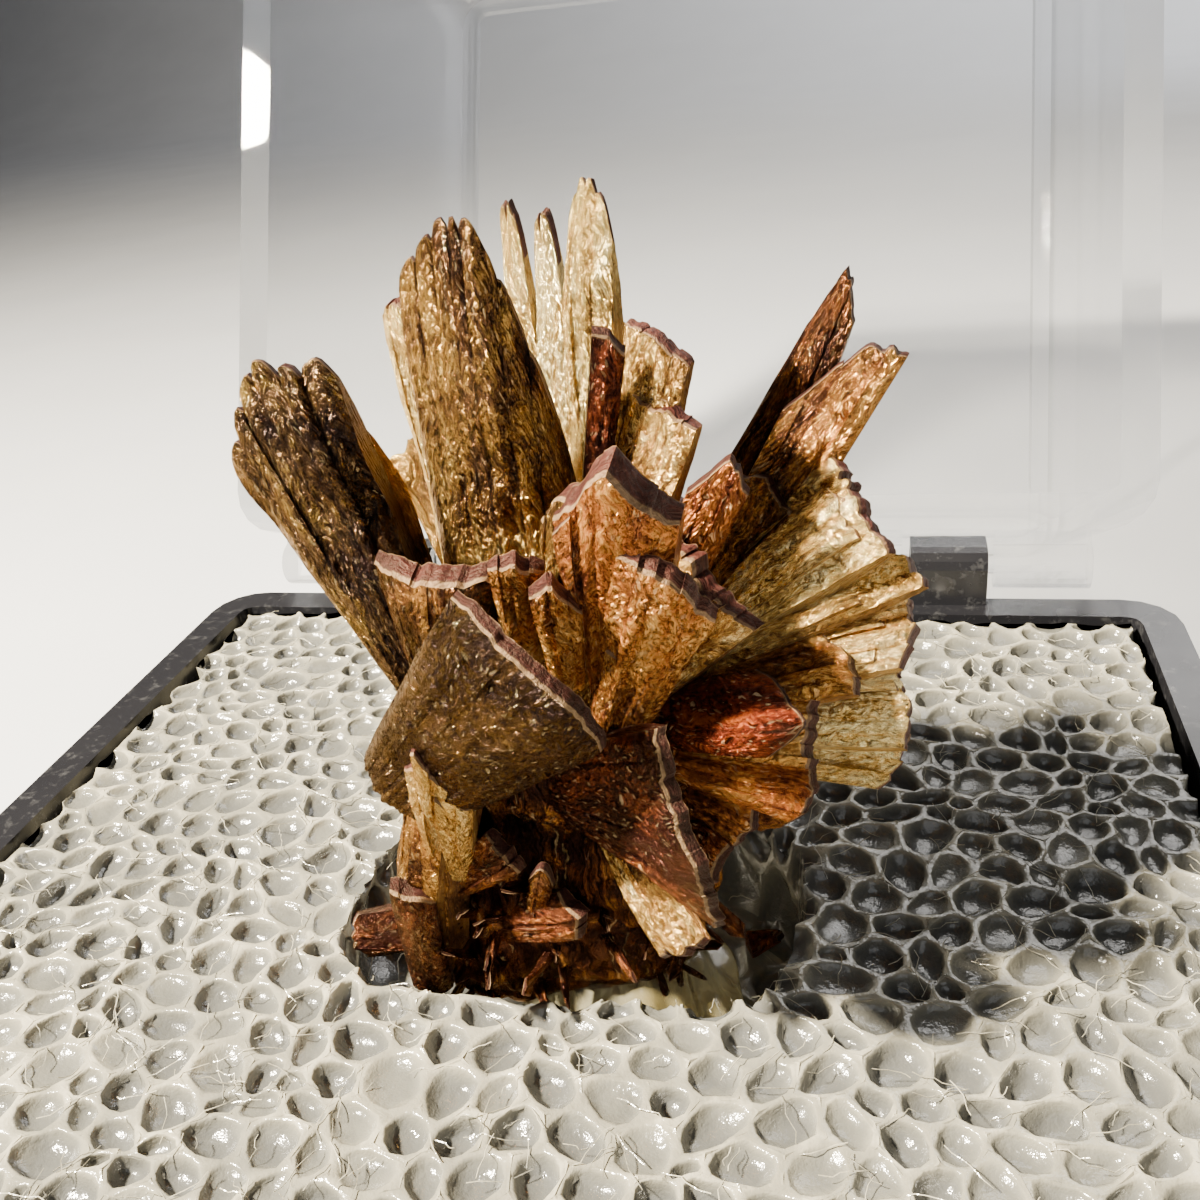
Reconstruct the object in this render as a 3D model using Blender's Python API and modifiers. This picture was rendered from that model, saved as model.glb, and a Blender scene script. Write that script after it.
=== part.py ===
# Goethite crystal cluster, standing in the foam pad of a small hinged display box.
# Sizes are written in millimetres, and each mesh is scaled to metres as it is made.
# The origin is the middle of the tray's underside, +Z is up and the hinge is at +Y.

import math
import random

import bmesh
import bpy
from mathutils import Matrix, Vector, noise

MM = 0.001
TINY = 1e-4

# Tray
BOX_SIDE = 31.75
TRAY_HEIGHT = 8.5
TRAY_WALL = 1.1
TRAY_CORNER = 1.5
TRAY_FOOT_ROUND = 0.4

# Lid, described closed
CLOSED_HEIGHT = 31.75
LID_SIDE = 30.7
LID_WALL = 1.1
LID_CORNER = 1.5
LID_EDGE_ROUND = 0.5
LID_RIM_GAP = 0.3

# Hinge
HINGE_Y = 16.4
HINGE_ABOVE_RIM = 0.95
EAR_CENTRE_X = 9.3
EAR_WIDTH = 2.3
EAR_REACH = 0.8
EAR_INTO_WALL = 1.0
EAR_DROP = 3.6
EAR_ROUND = 0.55
EAR_SIDE_GAP = 0.25
BORE_RADIUS = 0.55
PIN_RADIUS = 0.3
PIN_INTO_BARREL = 1.0
BARREL_RADIUS = 0.75
BARREL_HALF_LENGTH = 13.5
WEB_HALF_HEIGHT = 0.4
TABLE_GAP = 0.01

# Foam pad and its pit, measured from the rim's plane
FIT_GAP = 0.3
FOAM_TOP = 0.05
FOAM_UNEVEN = 0.12
FOAM_LUMP_PITCH = 2.2
FOAM_CELLS = 14
PIT_DEPTH = 3.0
PIT_TAPER = 0.94
PIT_OUTLINE = (
    (-5.8, 1.5), (-5.7, -0.5), (-5.2, -1.9), (-3.9, -2.1), (-1.6, -2.3), (1.0, -1.7), (3.8, -1.5),
    (5.2, -1.1), (5.9, -1.0), (6.3, 0.2), (6.7, 1.8), (6.1, 3.6), (4.2, 4.7), (1.2, 5.1), (-2.0, 4.8),
    (-4.6, 3.6),
)

# Glue dome: centre and radii
GLUE_CENTRE = (2.5, 0.8, -1.8)
GLUE_RADII = (2.9, 1.9, 1.9)

# Loose chip: centre and size
CHIP_CENTRE = (4.7, 2.9, -2.4)
CHIP_SIZE = (0.9, 0.5, 0.45)
CHIP_TURN = 25.0
CHIP_THIN_END = 0.5

RIM = Vector((0.0, 0.0, TRAY_HEIGHT))

# Crystal blades. Places are from the middle of the rim's plane. Each row gives:
# name, root, tip, width at root and tip, thickness at root and tip,
# the way the broad face looks, how far the end falls back at its left and right side
# and how sharply, how many flutes, and how far the tip bows
BLADES = (
    ("tall_blade", (0.6, 0.4, 6.6), (0.95, -0.6, 15.2), (2.7, 2.5), (1.0, 0.8),
     (-0.15, -0.95, 0.2), (0.12, 0.5, 1.3), 7, 0.0),
    ("left_wing", (-0.9, -0.6, 6.4), (-3.05, -0.5, 13.0), (1.0, 2.5), (0.9, 1.2),
     (-0.25, -0.9, 0.3), (0.2, 0.04, 1.2), 6, 0.05),
    ("left_wing_side", (-0.9, 0.1, 6.8), (-2.0, 0.4, 11.8), (0.7, 1.0), (0.6, 0.8),
     (0.6, -0.75, 0.2), (0.1, 0.3, 1.5), 3, 0.0),
    ("left_rear", (-0.7, 1.4, 7.4), (-1.3, 1.7, 13.6), (0.7, 1.0), (0.5, 0.5),
     (0.1, -0.95, 0.2), (0.05, 0.08, 1.0), 3, 0.0),
    ("back_spike_left", (0.9, 2.2, 8.0), (0.6, 3.1, 14.9), (1.2, 0.5), (0.5, 0.35),
     (0.1, -0.95, 0.2), (0.08, 0.08, 2.0), 2, 0.0),
    ("back_spike_right", (1.4, 2.0, 8.0), (1.3, 2.9, 14.7), (1.6, 0.5), (0.5, 0.35),
     (0.2, -0.95, 0.2), (0.1, 0.08, 2.0), 2, 0.0),
    ("finger", (2.2, 0.9, 8.0), (2.35, 2.0, 15.2), (1.3, 1.15), (0.6, 0.5),
     (0.2, -0.9, 0.3), (0.1, 0.12, 2.6), 5, 0.0),
    ("crest_upper", (2.5, 0.4, 8.0), (3.6, 1.0, 12.9), (0.9, 1.4), (0.6, 0.6),
     (0.1, -0.9, 0.3), (0.0, 0.1, 1.0), 4, 0.0),
    ("crest_prism", (2.5, 0.1, 10.6), (2.9, 0.4, 13.0), (0.5, 0.6), (0.4, 0.4),
     (0.3, -0.9, 0.3), (0.0, 0.1, 1.0), 1, 0.0),
    ("crest_middle", (2.5, 0.0, 7.4), (3.7, 0.5, 11.8), (0.8, 1.4), (0.6, 0.7),
     (0.1, -0.9, 0.3), (0.0, 0.05, 1.0), 5, 0.0),
    ("crest_lower", (2.6, -0.5, 6.4), (4.3, -0.9, 9.6), (1.0, 3.0), (0.7, 0.7),
     (0.25, -0.85, 0.35), (0.0, 0.1, 1.0), 8, 0.0),
    ("prow_left", (2.1, -0.8, 6.8), (2.7, -2.3, 11.4), (1.3, 2.0), (0.8, 0.7),
     (-0.45, -0.8, 0.4), (0.3, 0.0, 1.2), 4, 0.0),
    ("prow", (2.7, -0.9, 6.6), (3.6, -2.9, 12.2), (1.2, 2.0), (0.9, 1.0),
     (0.1, -0.95, 0.2), (0.25, 0.16, 1.2), 5, 0.05),
    ("prow_lip", (2.8, -1.4, 6.6), (4.3, -3.0, 10.4), (1.0, 1.8), (0.5, 0.5),
     (-0.1, -0.95, 0.2), (0.0, 0.2, 1.2), 5, 0.0),
    ("ember_left", (1.2, -1.2, 7.4), (1.8, -2.7, 10.5), (0.7, 0.9), (0.5, 0.5),
     (0.2, -0.9, 0.3), (0.1, 0.1, 1.0), 4, 0.0),
    ("ember_right", (2.0, -1.4, 7.4), (2.4, -2.9, 10.2), (0.6, 0.8), (0.5, 0.5),
     (0.2, -0.9, 0.3), (0.1, 0.3, 1.0), 3, 0.0),
    ("collar", (-0.4, -0.9, 6.6), (0.2, -2.2, 9.9), (1.2, 2.3), (0.8, 0.8),
     (0.0, -0.98, 0.1), (0.05, 0.0, 1.0), 6, 0.0),
    ("shield", (-1.4, -1.6, 5.1), (2.3, -4.3, 9.1), (2.0, 3.4), (1.0, 0.7),
     (-0.25, -0.9, 0.3), (0.1, 0.05, 2.0), 7, -0.05),
    ("flank", (-2.0, -0.7, 0.2), (-0.8, -2.3, 7.4), (1.1, 1.3), (0.9, 1.0),
     (-0.65, -0.75, 0.1), (0.1, 0.1, 1.0), 6, -0.12),
    ("flank_torn", (-0.9, -1.3, 3.0), (-0.2, -2.8, 6.6), (0.9, 1.2), (0.6, 0.5),
     (0.0, -0.95, 0.1), (0.0, 0.3, 1.0), 4, 0.0),
    ("keel", (1.2, -0.8, 4.8), (4.6, -3.3, 5.7), (1.2, 4.2), (0.7, 0.6),
     (-0.3, -0.93, 0.1), (0.06, 0.12, 2.0), 9, 0.08),
    ("keel_foot", (2.2, -0.8, 4.0), (3.9, -2.5, 2.2), (0.8, 1.1), (0.5, 0.5),
     (-0.1, -0.95, -0.1), (0.0, 0.1, 1.0), 6, 0.0),
    ("keel_rear", (2.8, -0.4, 4.6), (4.4, -1.9, 3.4), (0.9, 1.4), (0.4, 0.4),
     (0.2, -0.95, 0.0), (0.1, 0.1, 1.0), 3, 0.0),
    ("thumb", (3.4, -0.6, 6.2), (6.0, -2.2, 7.4), (1.2, 1.5), (0.7, 0.9),
     (0.1, -0.85, 0.5), (0.3, 0.3, 2.0), 4, 0.0),
    ("step_upper", (3.4, -0.5, 5.8), (6.2, -1.0, 6.2), (0.7, 1.2), (0.8, 0.8),
     (0.0, -0.85, 0.45), (0.0, 0.05, 1.0), 5, 0.0),
    ("step_middle", (3.4, -0.7, 5.4), (6.3, -1.0, 5.0), (0.7, 1.4), (0.7, 0.8),
     (0.1, -0.9, 0.3), (0.1, 0.1, 1.0), 5, 0.0),
    ("step_lower", (3.3, -0.7, 5.0), (5.1, -1.3, 4.2), (0.7, 1.0), (0.5, 0.5),
     (0.1, -0.9, 0.2), (0.1, 0.1, 1.0), 3, 0.0),
    ("step_rear", (3.3, 0.2, 4.8), (5.7, -0.1, 3.6), (0.7, 1.1), (0.5, 0.5),
     (0.1, -0.9, 0.2), (0.1, 0.1, 1.0), 3, 0.0),
    ("fan_top", (3.0, 0.4, 6.2), (7.8, 1.5, 8.4), (0.8, 1.2), (0.7, 0.7),
     (0.1, -0.85, 0.45), (0.1, 0.0, 1.0), 4, 0.0),
    ("fan_upper", (3.0, 0.3, 6.0), (8.0, 1.2, 7.2), (0.8, 1.4), (0.7, 0.8),
     (0.1, -0.85, 0.45), (0.0, 0.1, 1.0), 5, 0.0),
    ("fan_front", (3.2, 0.0, 6.0), (6.8, 0.4, 6.9), (0.8, 1.3), (0.6, 0.7),
     (0.1, -0.85, 0.45), (0.1, 0.0, 1.0), 4, 0.0),
    ("fan_middle", (3.2, 0.0, 5.6), (7.9, 0.8, 5.7), (0.9, 1.6), (0.7, 0.8),
     (0.1, -0.85, 0.45), (0.0, 0.05, 1.0), 6, 0.0),
    ("fan_lower", (3.2, -0.1, 5.4), (7.8, 0.5, 4.6), (0.7, 1.1), (0.6, 0.6),
     (0.1, -0.85, 0.4), (0.0, 0.1, 1.0), 4, 0.0),
    ("quill", (3.4, 2.0, 6.4), (6.6, 4.5, 13.0), (2.2, 1.1), (0.7, 0.4),
     (-0.1, -0.9, 0.2), (0.45, 0.1, 1.3), 4, 0.0),
    ("plume", (4.0, 1.6, 7.0), (7.1, 3.4, 12.0), (1.2, 1.5), (0.6, 0.4),
     (0.1, -0.9, 0.3), (0.3, 0.0, 1.0), 4, 0.0),
    ("banner", (3.2, 0.8, 6.4), (6.9, 2.0, 9.7), (0.9, 2.9), (0.7, 0.7),
     (0.15, -0.85, 0.45), (0.0, 0.1, 1.0), 8, 0.0),
    ("banner_shade", (3.2, 1.0, 6.8), (5.3, 2.2, 9.8), (0.9, 1.6), (0.5, 0.5),
     (-0.3, -0.9, 0.2), (0.1, 0.1, 1.0), 4, 0.0),
    ("hook", (3.4, -0.1, 7.6), (4.8, 0.3, 10.9), (0.6, 1.0), (0.5, 0.4),
     (0.2, -0.9, 0.3), (0.2, 0.1, 1.0), 3, 0.08),
    ("foot_left", (-1.4, -0.1, 0.6), (-4.2, -0.6, 0.0), (0.9, 1.0), (0.7, 0.6),
     (0.0, -0.9, 0.3), (0.1, 0.1, 1.0), 3, 0.0),
    ("foot_prism", (-2.0, -1.1, -0.4), (-1.6, -1.9, 2.9), (0.9, 0.9), (0.8, 0.8),
     (0.2, -0.95, 0.1), (0.0, 0.1, 1.0), 2, 0.0),
    ("peg", (0.5, -1.0, 1.6), (1.3, -2.2, 3.9), (0.4, 0.5), (0.4, 0.3),
     (0.1, -0.95, 0.1), (0.3, 0.3, 2.0), 2, 0.0),
    ("rib", (-1.6, -0.7, 1.8), (0.6, -1.9, 4.0), (0.7, 1.0), (0.5, 0.5),
     (0.0, -0.95, 0.2), (0.1, 0.1, 1.0), 4, 0.0),
    ("rib_low", (-1.2, -0.5, 0.8), (1.8, -1.7, 2.3), (0.7, 1.1), (0.5, 0.5),
     (0.0, -0.95, 0.2), (0.1, 0.1, 1.0), 4, 0.0),
    ("back_crest", (1.6, 0.6, 6.0), (1.8, 4.6, 12.4), (1.4, 2.6), (0.8, 0.7),
     (0.0, 0.9, 0.3), (0.1, 0.2, 1.2), 6, 0.0),
    ("back_left", (0.8, 0.6, 5.6), (-1.8, 3.9, 10.6), (1.2, 2.4), (0.8, 0.7),
     (-0.4, 0.85, 0.3), (0.1, 0.1, 1.0), 6, 0.0),
    ("back_middle", (1.6, 0.8, 5.2), (1.6, 5.4, 8.6), (1.4, 3.2), (0.7, 0.7),
     (0.0, 0.7, 0.7), (0.1, 0.1, 1.4), 7, 0.0),
    ("back_right", (2.6, 0.8, 5.4), (5.0, 4.9, 8.4), (1.2, 2.8), (0.7, 0.7),
     (0.3, 0.7, 0.6), (0.1, 0.0, 1.2), 6, 0.0),
    ("back_low_left", (0.6, 0.4, 4.6), (-2.6, 3.4, 6.2), (1.2, 2.6), (0.7, 0.7),
     (-0.4, 0.6, 0.7), (0.0, 0.1, 1.2), 6, 0.0),
    ("back_low_right", (2.8, 0.6, 4.6), (6.0, 3.8, 5.4), (1.1, 2.4), (0.7, 0.7),
     (0.4, 0.6, 0.7), (0.1, 0.0, 1.2), 5, 0.0),
    ("back_low", (1.6, 0.6, 4.0), (1.8, 4.3, 4.2), (1.4, 3.0), (0.7, 0.6),
     (0.0, 0.5, 0.85), (0.1, 0.1, 1.4), 6, 0.0),
    ("left_fan", (-0.2, 0.0, 5.2), (-3.0, 1.4, 8.0), (1.2, 2.4), (0.8, 0.7),
     (-0.7, -0.3, 0.6), (0.1, 0.1, 1.2), 6, 0.0),
    ("left_low_fan", (-0.4, 0.2, 4.0), (-2.8, 1.8, 4.8), (1.2, 2.2), (0.7, 0.6),
     (-0.5, 0.0, 0.85), (0.1, 0.1, 1.2), 5, 0.0),
)

# Shape of every blade, as shares of its length, of its root's thickness and of its thickness
RAGGED_END = 0.05
FLUTE_DEPTH = 0.14
BACK_FLUTE_DEPTH = 0.08
EDGE_THINNING = 0.35
BLADE_ROWS = 2

# Lumps of the root that every blade grows from: centre and radii
ROOT_LUMPS = (
    ((1.4, 0.0, 5.6), (2.0, 1.5, 2.4)),
    ((3.0, 0.2, 5.6), (1.4, 1.4, 1.9)),
    ((0.2, 0.1, 2.6), (2.2, 1.3, 3.2)),
    ((2.0, 0.2, 2.6), (2.2, 1.3, 2.8)),
    ((0.9, 0.1, 0.9), (2.9, 1.4, 2.0)),
    ((-0.5, 0.1, 0.1), (2.0, 1.3, 1.7)),
)


def make_material(name, colour, roughness, metallic=0.0, transmission=0.0):
    """Principled material with the piece's colour and finish."""
    material = bpy.data.materials.new(name)
    material.use_nodes = True
    shader = material.node_tree.nodes["Principled BSDF"]
    shader.inputs["Base Color"].default_value = (*colour, 1.0)
    shader.inputs["Roughness"].default_value = roughness
    shader.inputs["Metallic"].default_value = metallic
    shader.inputs["Transmission Weight"].default_value = transmission
    return material


def make_object(name, bm, collection, material=None):
    """Object from a millimetre bmesh, which is freed."""
    bmesh.ops.scale(bm, vec=Vector((MM, MM, MM)), verts=bm.verts)
    mesh = bpy.data.meshes.new(name)
    bm.to_mesh(mesh)
    bm.free()
    if material:
        mesh.materials.append(material)
    piece = bpy.data.objects.new(name, mesh)
    collection.objects.link(piece)
    return piece


def hide_cutter(piece, parent=None):
    """Leave a cutter out of the model, and let it move with the piece that it shapes."""
    piece.hide_render = True
    piece.display_type = "WIRE"
    piece.parent = parent
    return piece


def add_boolean(piece, cutter, operation, self_crossing=False):
    modifier = piece.modifiers.new(f"{operation.lower()} {cutter.name}", "BOOLEAN")
    modifier.operation = operation
    modifier.solver = "EXACT"
    modifier.object = cutter
    modifier.use_self = self_crossing


def block(low, high):
    """Box between two corners."""
    low = Vector(low)
    high = Vector(high)
    size = high - low
    bm = bmesh.new()
    bmesh.ops.create_cube(bm, size=1.0)
    bmesh.ops.scale(bm, vec=size, verts=bm.verts)
    bmesh.ops.translate(bm, vec=(low + high) / 2, verts=bm.verts)
    return bm


def rod(radius, low_x, high_x, centre, sides=20):
    """Cylinder along X."""
    bm = bmesh.new()
    depth = high_x - low_x
    bmesh.ops.create_cone(bm, cap_ends=True, segments=sides, radius1=radius, radius2=radius, depth=depth)
    bmesh.ops.rotate(bm, matrix=Matrix.Rotation(math.pi / 2, 3, "Y"), verts=bm.verts)
    bmesh.ops.translate(bm, vec=Vector(((low_x + high_x) / 2, centre[1], centre[2])), verts=bm.verts)
    return bm


def ellipsoid(centre, radii, segments=20, rings=12):
    bm = bmesh.new()
    bmesh.ops.create_uvsphere(bm, u_segments=segments, v_segments=rings, radius=1.0)
    bmesh.ops.scale(bm, vec=Vector(radii), verts=bm.verts)
    bmesh.ops.translate(bm, vec=Vector(centre), verts=bm.verts)
    return bm


def append_mesh(target, source):
    """Add a bmesh to another as loose geometry."""
    mesh = bpy.data.meshes.new("part of a union")
    source.to_mesh(mesh)
    source.free()
    target.from_mesh(mesh)
    bpy.data.meshes.remove(mesh)


def open_case(side, height, corner, edge_round, open_side):
    """Rounded square case without the face on its open side, -1 below or 1 above."""
    half = side / 2
    bm = block((-half, -half, 0.0), (half, half, height))
    upright = [e for e in bm.edges if abs(e.verts[0].co.z - e.verts[1].co.z) > half / 4]
    bmesh.ops.bevel(bm, geom=upright, offset=corner, segments=4, profile=0.5, affect="EDGES")
    shut_z = height if open_side < 0 else 0.0
    open_z = height - shut_z
    shut_edges = [e for e in bm.edges if all(abs(v.co.z - shut_z) < TINY for v in e.verts)]
    bmesh.ops.bevel(bm, geom=shut_edges, offset=edge_round, segments=2, profile=0.5, affect="EDGES")
    open_face = [f for f in bm.faces if all(abs(v.co.z - open_z) < TINY for v in f.verts)]
    bmesh.ops.delete(bm, geom=open_face, context="FACES")
    return bm


def add_wall(piece, thickness):
    """Wall of even thickness, inward from the case's outside."""
    modifier = piece.modifiers.new("wall", "SOLIDIFY")
    modifier.thickness = thickness * MM
    modifier.offset = -1.0
    modifier.use_even_offset = True


def lid_rest_angle():
    """Opening angle at which the lid's far back edge meets the table."""
    axis_height = TRAY_HEIGHT + HINGE_ABOVE_RIM
    behind = HINGE_Y - LID_SIDE / 2 + LID_EDGE_ROUND
    reach = CLOSED_HEIGHT - axis_height - LID_EDGE_ROUND
    fall = axis_height - LID_EDGE_ROUND - TABLE_GAP
    return math.acos(-fall / math.hypot(behind, reach)) + math.atan2(behind, reach)


def make_base(parts, cutters):
    black = make_material("black plastic", (0.012, 0.012, 0.013), 0.28)
    case = open_case(BOX_SIDE, TRAY_HEIGHT, TRAY_CORNER, TRAY_FOOT_ROUND, 1)
    base = make_object("base", case, parts, black)
    add_wall(base, TRAY_WALL)
    axis = (0.0, HINGE_Y, TRAY_HEIGHT + HINGE_ABOVE_RIM)
    ears = bmesh.new()
    for side in (-1, 1):
        middle = side * EAR_CENTRE_X
        ear = block(
            (middle - EAR_WIDTH / 2, axis[1] - EAR_INTO_WALL, axis[2] - EAR_DROP),
            (middle + EAR_WIDTH / 2, axis[1] + EAR_REACH, axis[2] + EAR_REACH),
        )
        upper = [e for e in ear.edges if all(v.co.z > axis[2] for v in e.verts)]
        top = [e for e in upper if abs(e.verts[0].co.x - e.verts[1].co.x) > TINY]
        bmesh.ops.bevel(ear, geom=top, offset=EAR_ROUND, segments=3, profile=0.5, affect="EDGES")
        append_mesh(ears, ear)
    add_boolean(base, hide_cutter(make_object("hinge ears", ears, cutters)), "UNION")
    reach = EAR_CENTRE_X + EAR_WIDTH
    bore = rod(BORE_RADIUS, -reach, reach, axis)
    add_boolean(base, hide_cutter(make_object("ear bores", bore, cutters)), "DIFFERENCE")
    return base


def make_lid(parts, cutters):
    """Lid with its origin on the hinge axis, opened to rest on the table."""
    clear = make_material("clear plastic", (0.93, 0.95, 0.96), 0.05, transmission=1.0)
    lid_height = CLOSED_HEIGHT - TRAY_HEIGHT - LID_RIM_GAP
    case = open_case(LID_SIDE, lid_height, LID_CORNER, LID_EDGE_ROUND, -1)
    to_axis = Vector((0.0, -HINGE_Y, LID_RIM_GAP - HINGE_ABOVE_RIM))
    bmesh.ops.translate(case, vec=to_axis, verts=case.verts)
    lid = make_object("lid", case, parts, clear)
    add_wall(lid, LID_WALL)
    notch_low = EAR_CENTRE_X - EAR_WIDTH / 2 - EAR_SIDE_GAP
    notch_high = EAR_CENTRE_X + EAR_WIDTH / 2 + EAR_SIDE_GAP
    wall_y = LID_SIDE / 2 - LID_WALL / 2 - HINGE_Y
    for label, low_x, high_x in (
        ("left", -BARREL_HALF_LENGTH, -notch_high),
        ("middle", -notch_low, notch_low),
        ("right", notch_high, BARREL_HALF_LENGTH),
    ):
        barrel = rod(BARREL_RADIUS, low_x, high_x, (0, 0, 0))
        barrel = hide_cutter(make_object(f"{label} barrel", barrel, cutters), lid)
        web = block((low_x, wall_y, -WEB_HALF_HEIGHT), (high_x, 0.0, WEB_HALF_HEIGHT))
        web = hide_cutter(make_object(f"{label} web", web, cutters), lid)
        add_boolean(lid, barrel, "UNION")
        add_boolean(lid, web, "UNION")
    pin_end = notch_high + PIN_INTO_BARREL
    pin = rod(PIN_RADIUS, -pin_end, pin_end, (0, 0, 0), sides=12)
    add_boolean(lid, hide_cutter(make_object("hinge pins", pin, cutters), lid), "UNION")
    lid.location = Vector((0.0, HINGE_Y, TRAY_HEIGHT + HINGE_ABOVE_RIM)) * MM
    lid.rotation_euler.x = -lid_rest_angle()
    return lid


def make_foam(parts, cutters):
    white = make_material("white foam", (0.82, 0.83, 0.83), 0.6)
    half = BOX_SIDE / 2 - TRAY_WALL - FIT_GAP
    bm = bmesh.new()
    bmesh.ops.create_grid(bm, x_segments=FOAM_CELLS, y_segments=FOAM_CELLS, size=half)
    for vert in bm.verts:
        lump = noise.noise(vert.co / FOAM_LUMP_PITCH)
        vert.co.z = TRAY_HEIGHT - FOAM_TOP - FOAM_UNEVEN + lump * FOAM_UNEVEN
    skirt = bmesh.ops.extrude_edge_only(bm, edges=[e for e in bm.edges if e.is_boundary])
    lower = [g for g in skirt["geom"] if isinstance(g, bmesh.types.BMVert)]
    for vert in lower:
        vert.co.z = TRAY_WALL + FIT_GAP
    bmesh.ops.contextual_create(bm, geom=[e for e in bm.edges if e.is_boundary])
    bmesh.ops.recalc_face_normals(bm, faces=bm.faces)
    foam = make_object("foam_pad", bm, parts, white)

    pit = bmesh.new()
    ring_top = [pit.verts.new(Vector((x, y, 1.0)) + RIM) for x, y in PIT_OUTLINE]
    floor = -PIT_DEPTH
    ring_low = [pit.verts.new(Vector((x * PIT_TAPER, y * PIT_TAPER, floor)) + RIM) for x, y in PIT_OUTLINE]
    pit.faces.new(ring_top)
    pit.faces.new(ring_low[::-1])
    for i in range(len(PIT_OUTLINE)):
        j = (i + 1) % len(PIT_OUTLINE)
        pit.faces.new((ring_top[i], ring_low[i], ring_low[j], ring_top[j]))
    bmesh.ops.recalc_face_normals(pit, faces=pit.faces)
    add_boolean(foam, hide_cutter(make_object("pit", pit, cutters)), "DIFFERENCE")
    return foam


def make_glue(parts, cutters):
    amber = make_material("yellowish glue", (0.8, 0.62, 0.3), 0.12, transmission=0.8)
    dome = ellipsoid(Vector(GLUE_CENTRE) + RIM, GLUE_RADII)
    glue = make_object("glue", dome, parts, amber)
    floor = TRAY_HEIGHT - PIT_DEPTH + FIT_GAP
    below = block((-BOX_SIDE, -BOX_SIDE, -BOX_SIDE), (BOX_SIDE, BOX_SIDE, floor))
    add_boolean(glue, hide_cutter(make_object("under the glue", below, cutters)), "DIFFERENCE")
    return glue


def make_chip(parts):
    red_brown = make_material("red brown chip", (0.25, 0.07, 0.035), 0.35)
    bm = bmesh.new()
    bmesh.ops.create_cube(bm, size=1.0)
    bmesh.ops.scale(bm, vec=Vector(CHIP_SIZE), verts=bm.verts)
    for vert in bm.verts:
        if vert.co.x > 0:
            vert.co.y *= CHIP_THIN_END
    bmesh.ops.rotate(bm, matrix=Matrix.Rotation(math.radians(CHIP_TURN), 3, "Z"), verts=bm.verts)
    bmesh.ops.translate(bm, vec=Vector(CHIP_CENTRE) + RIM, verts=bm.verts)
    return make_object("loose_chip", bm, parts, red_brown)


def blade(root, tip, widths, thicknesses, facing, end, flutes, bow, seed):
    """Fluted slab that opens from its root to a broken, uneven end."""
    draw = random.Random(seed)
    root = Vector(root)
    tip = Vector(tip)
    length = (tip - root).length
    along = (tip - root) / length
    across = along.cross(Vector(facing)).normalized()
    normal = across.cross(along)
    steps = [0.0]
    for _ in range(flutes):
        steps.append(steps[-1] + draw.uniform(0.6, 1.4))
    lines = [2.0 * step / steps[-1] - 1.0 for step in steps]
    ragged = [draw.uniform(0.0, RAGGED_END) for _ in lines]
    ridges = [draw.uniform(-1.0, 1.0) * thicknesses[0] for _ in lines]
    left_fall, right_fall, sharpness = end
    bm = bmesh.new()
    rings = []
    for row in range(BLADE_ROWS + 1):
        s = row / BLADE_ROWS
        half_width = 0.5 * (widths[0] + (widths[1] - widths[0]) * s)
        half_thick = 0.5 * (thicknesses[0] + (thicknesses[1] - thicknesses[0]) * s)
        front = []
        back = []
        for q, rag, ridge in zip(lines, ragged, ridges):
            fall = (left_fall if q < 0 else right_fall) * abs(q) ** sharpness + rag
            spine = root + along * (length * s * (1.0 - fall)) + across * (half_width * q)
            spine += normal * (bow * length * s * s)
            lens = half_thick * (1.0 - EDGE_THINNING * abs(q) ** 3)
            front.append(bm.verts.new(RIM + spine + normal * (lens + ridge * FLUTE_DEPTH)))
            back.append(bm.verts.new(RIM + spine - normal * (lens + ridge * BACK_FLUTE_DEPTH)))
        rings.append(front + back[::-1])
    count = len(rings[0])
    for low, high in zip(rings, rings[1:]):
        for i in range(count):
            j = (i + 1) % count
            bm.faces.new((low[i], low[j], high[j], high[i]))
    for ring in (rings[0], rings[-1]):
        for i in range(flutes):
            bm.faces.new((ring[i], ring[i + 1], ring[count - 2 - i], ring[count - 1 - i]))
    bmesh.ops.recalc_face_normals(bm, faces=bm.faces)
    return bm


def make_cluster(parts, cutters):
    """All the crystals grown together, fused in one solid."""
    bronze = make_material("bronze brown goethite", (0.27, 0.15, 0.06), 0.4, metallic=0.3)
    centre, radii = ROOT_LUMPS[0]
    cluster = make_object("goethite_cluster", ellipsoid(Vector(centre) + RIM, radii, 12, 8), parts, bronze)
    bundle = bmesh.new()
    for centre, radii in ROOT_LUMPS[1:]:
        append_mesh(bundle, ellipsoid(Vector(centre) + RIM, radii, 12, 8))
    for seed, (name, *shape) in enumerate(BLADES, 1):
        append_mesh(bundle, blade(*shape, seed))
    bundle = hide_cutter(make_object("blade bundle", bundle, cutters))
    add_boolean(cluster, bundle, "UNION", self_crossing=True)
    seat_radii = [radius + FIT_GAP for radius in GLUE_RADII]
    seat = ellipsoid(Vector(GLUE_CENTRE) + RIM, seat_radii)
    add_boolean(cluster, hide_cutter(make_object("glue seat", seat, cutters)), "DIFFERENCE")
    return cluster


def main():
    for item in list(bpy.data.objects):
        bpy.data.objects.remove(item)
    parts = bpy.data.collections.new("goethite specimen")
    cutters = bpy.data.collections.new("cutters")
    for collection in (parts, cutters):
        bpy.context.scene.collection.children.link(collection)
    make_base(parts, cutters)
    make_lid(parts, cutters)
    make_foam(parts, cutters)
    make_glue(parts, cutters)
    make_chip(parts)
    make_cluster(parts, cutters)


main()
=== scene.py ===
# Goethite cluster in a small display box: the finish of every surface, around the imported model.
# Sizes are in millimetres, and every mesh is scaled to metres as it is made.
import math

import bmesh
import bpy
import numpy as np
from mathutils import Matrix, Vector


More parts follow.
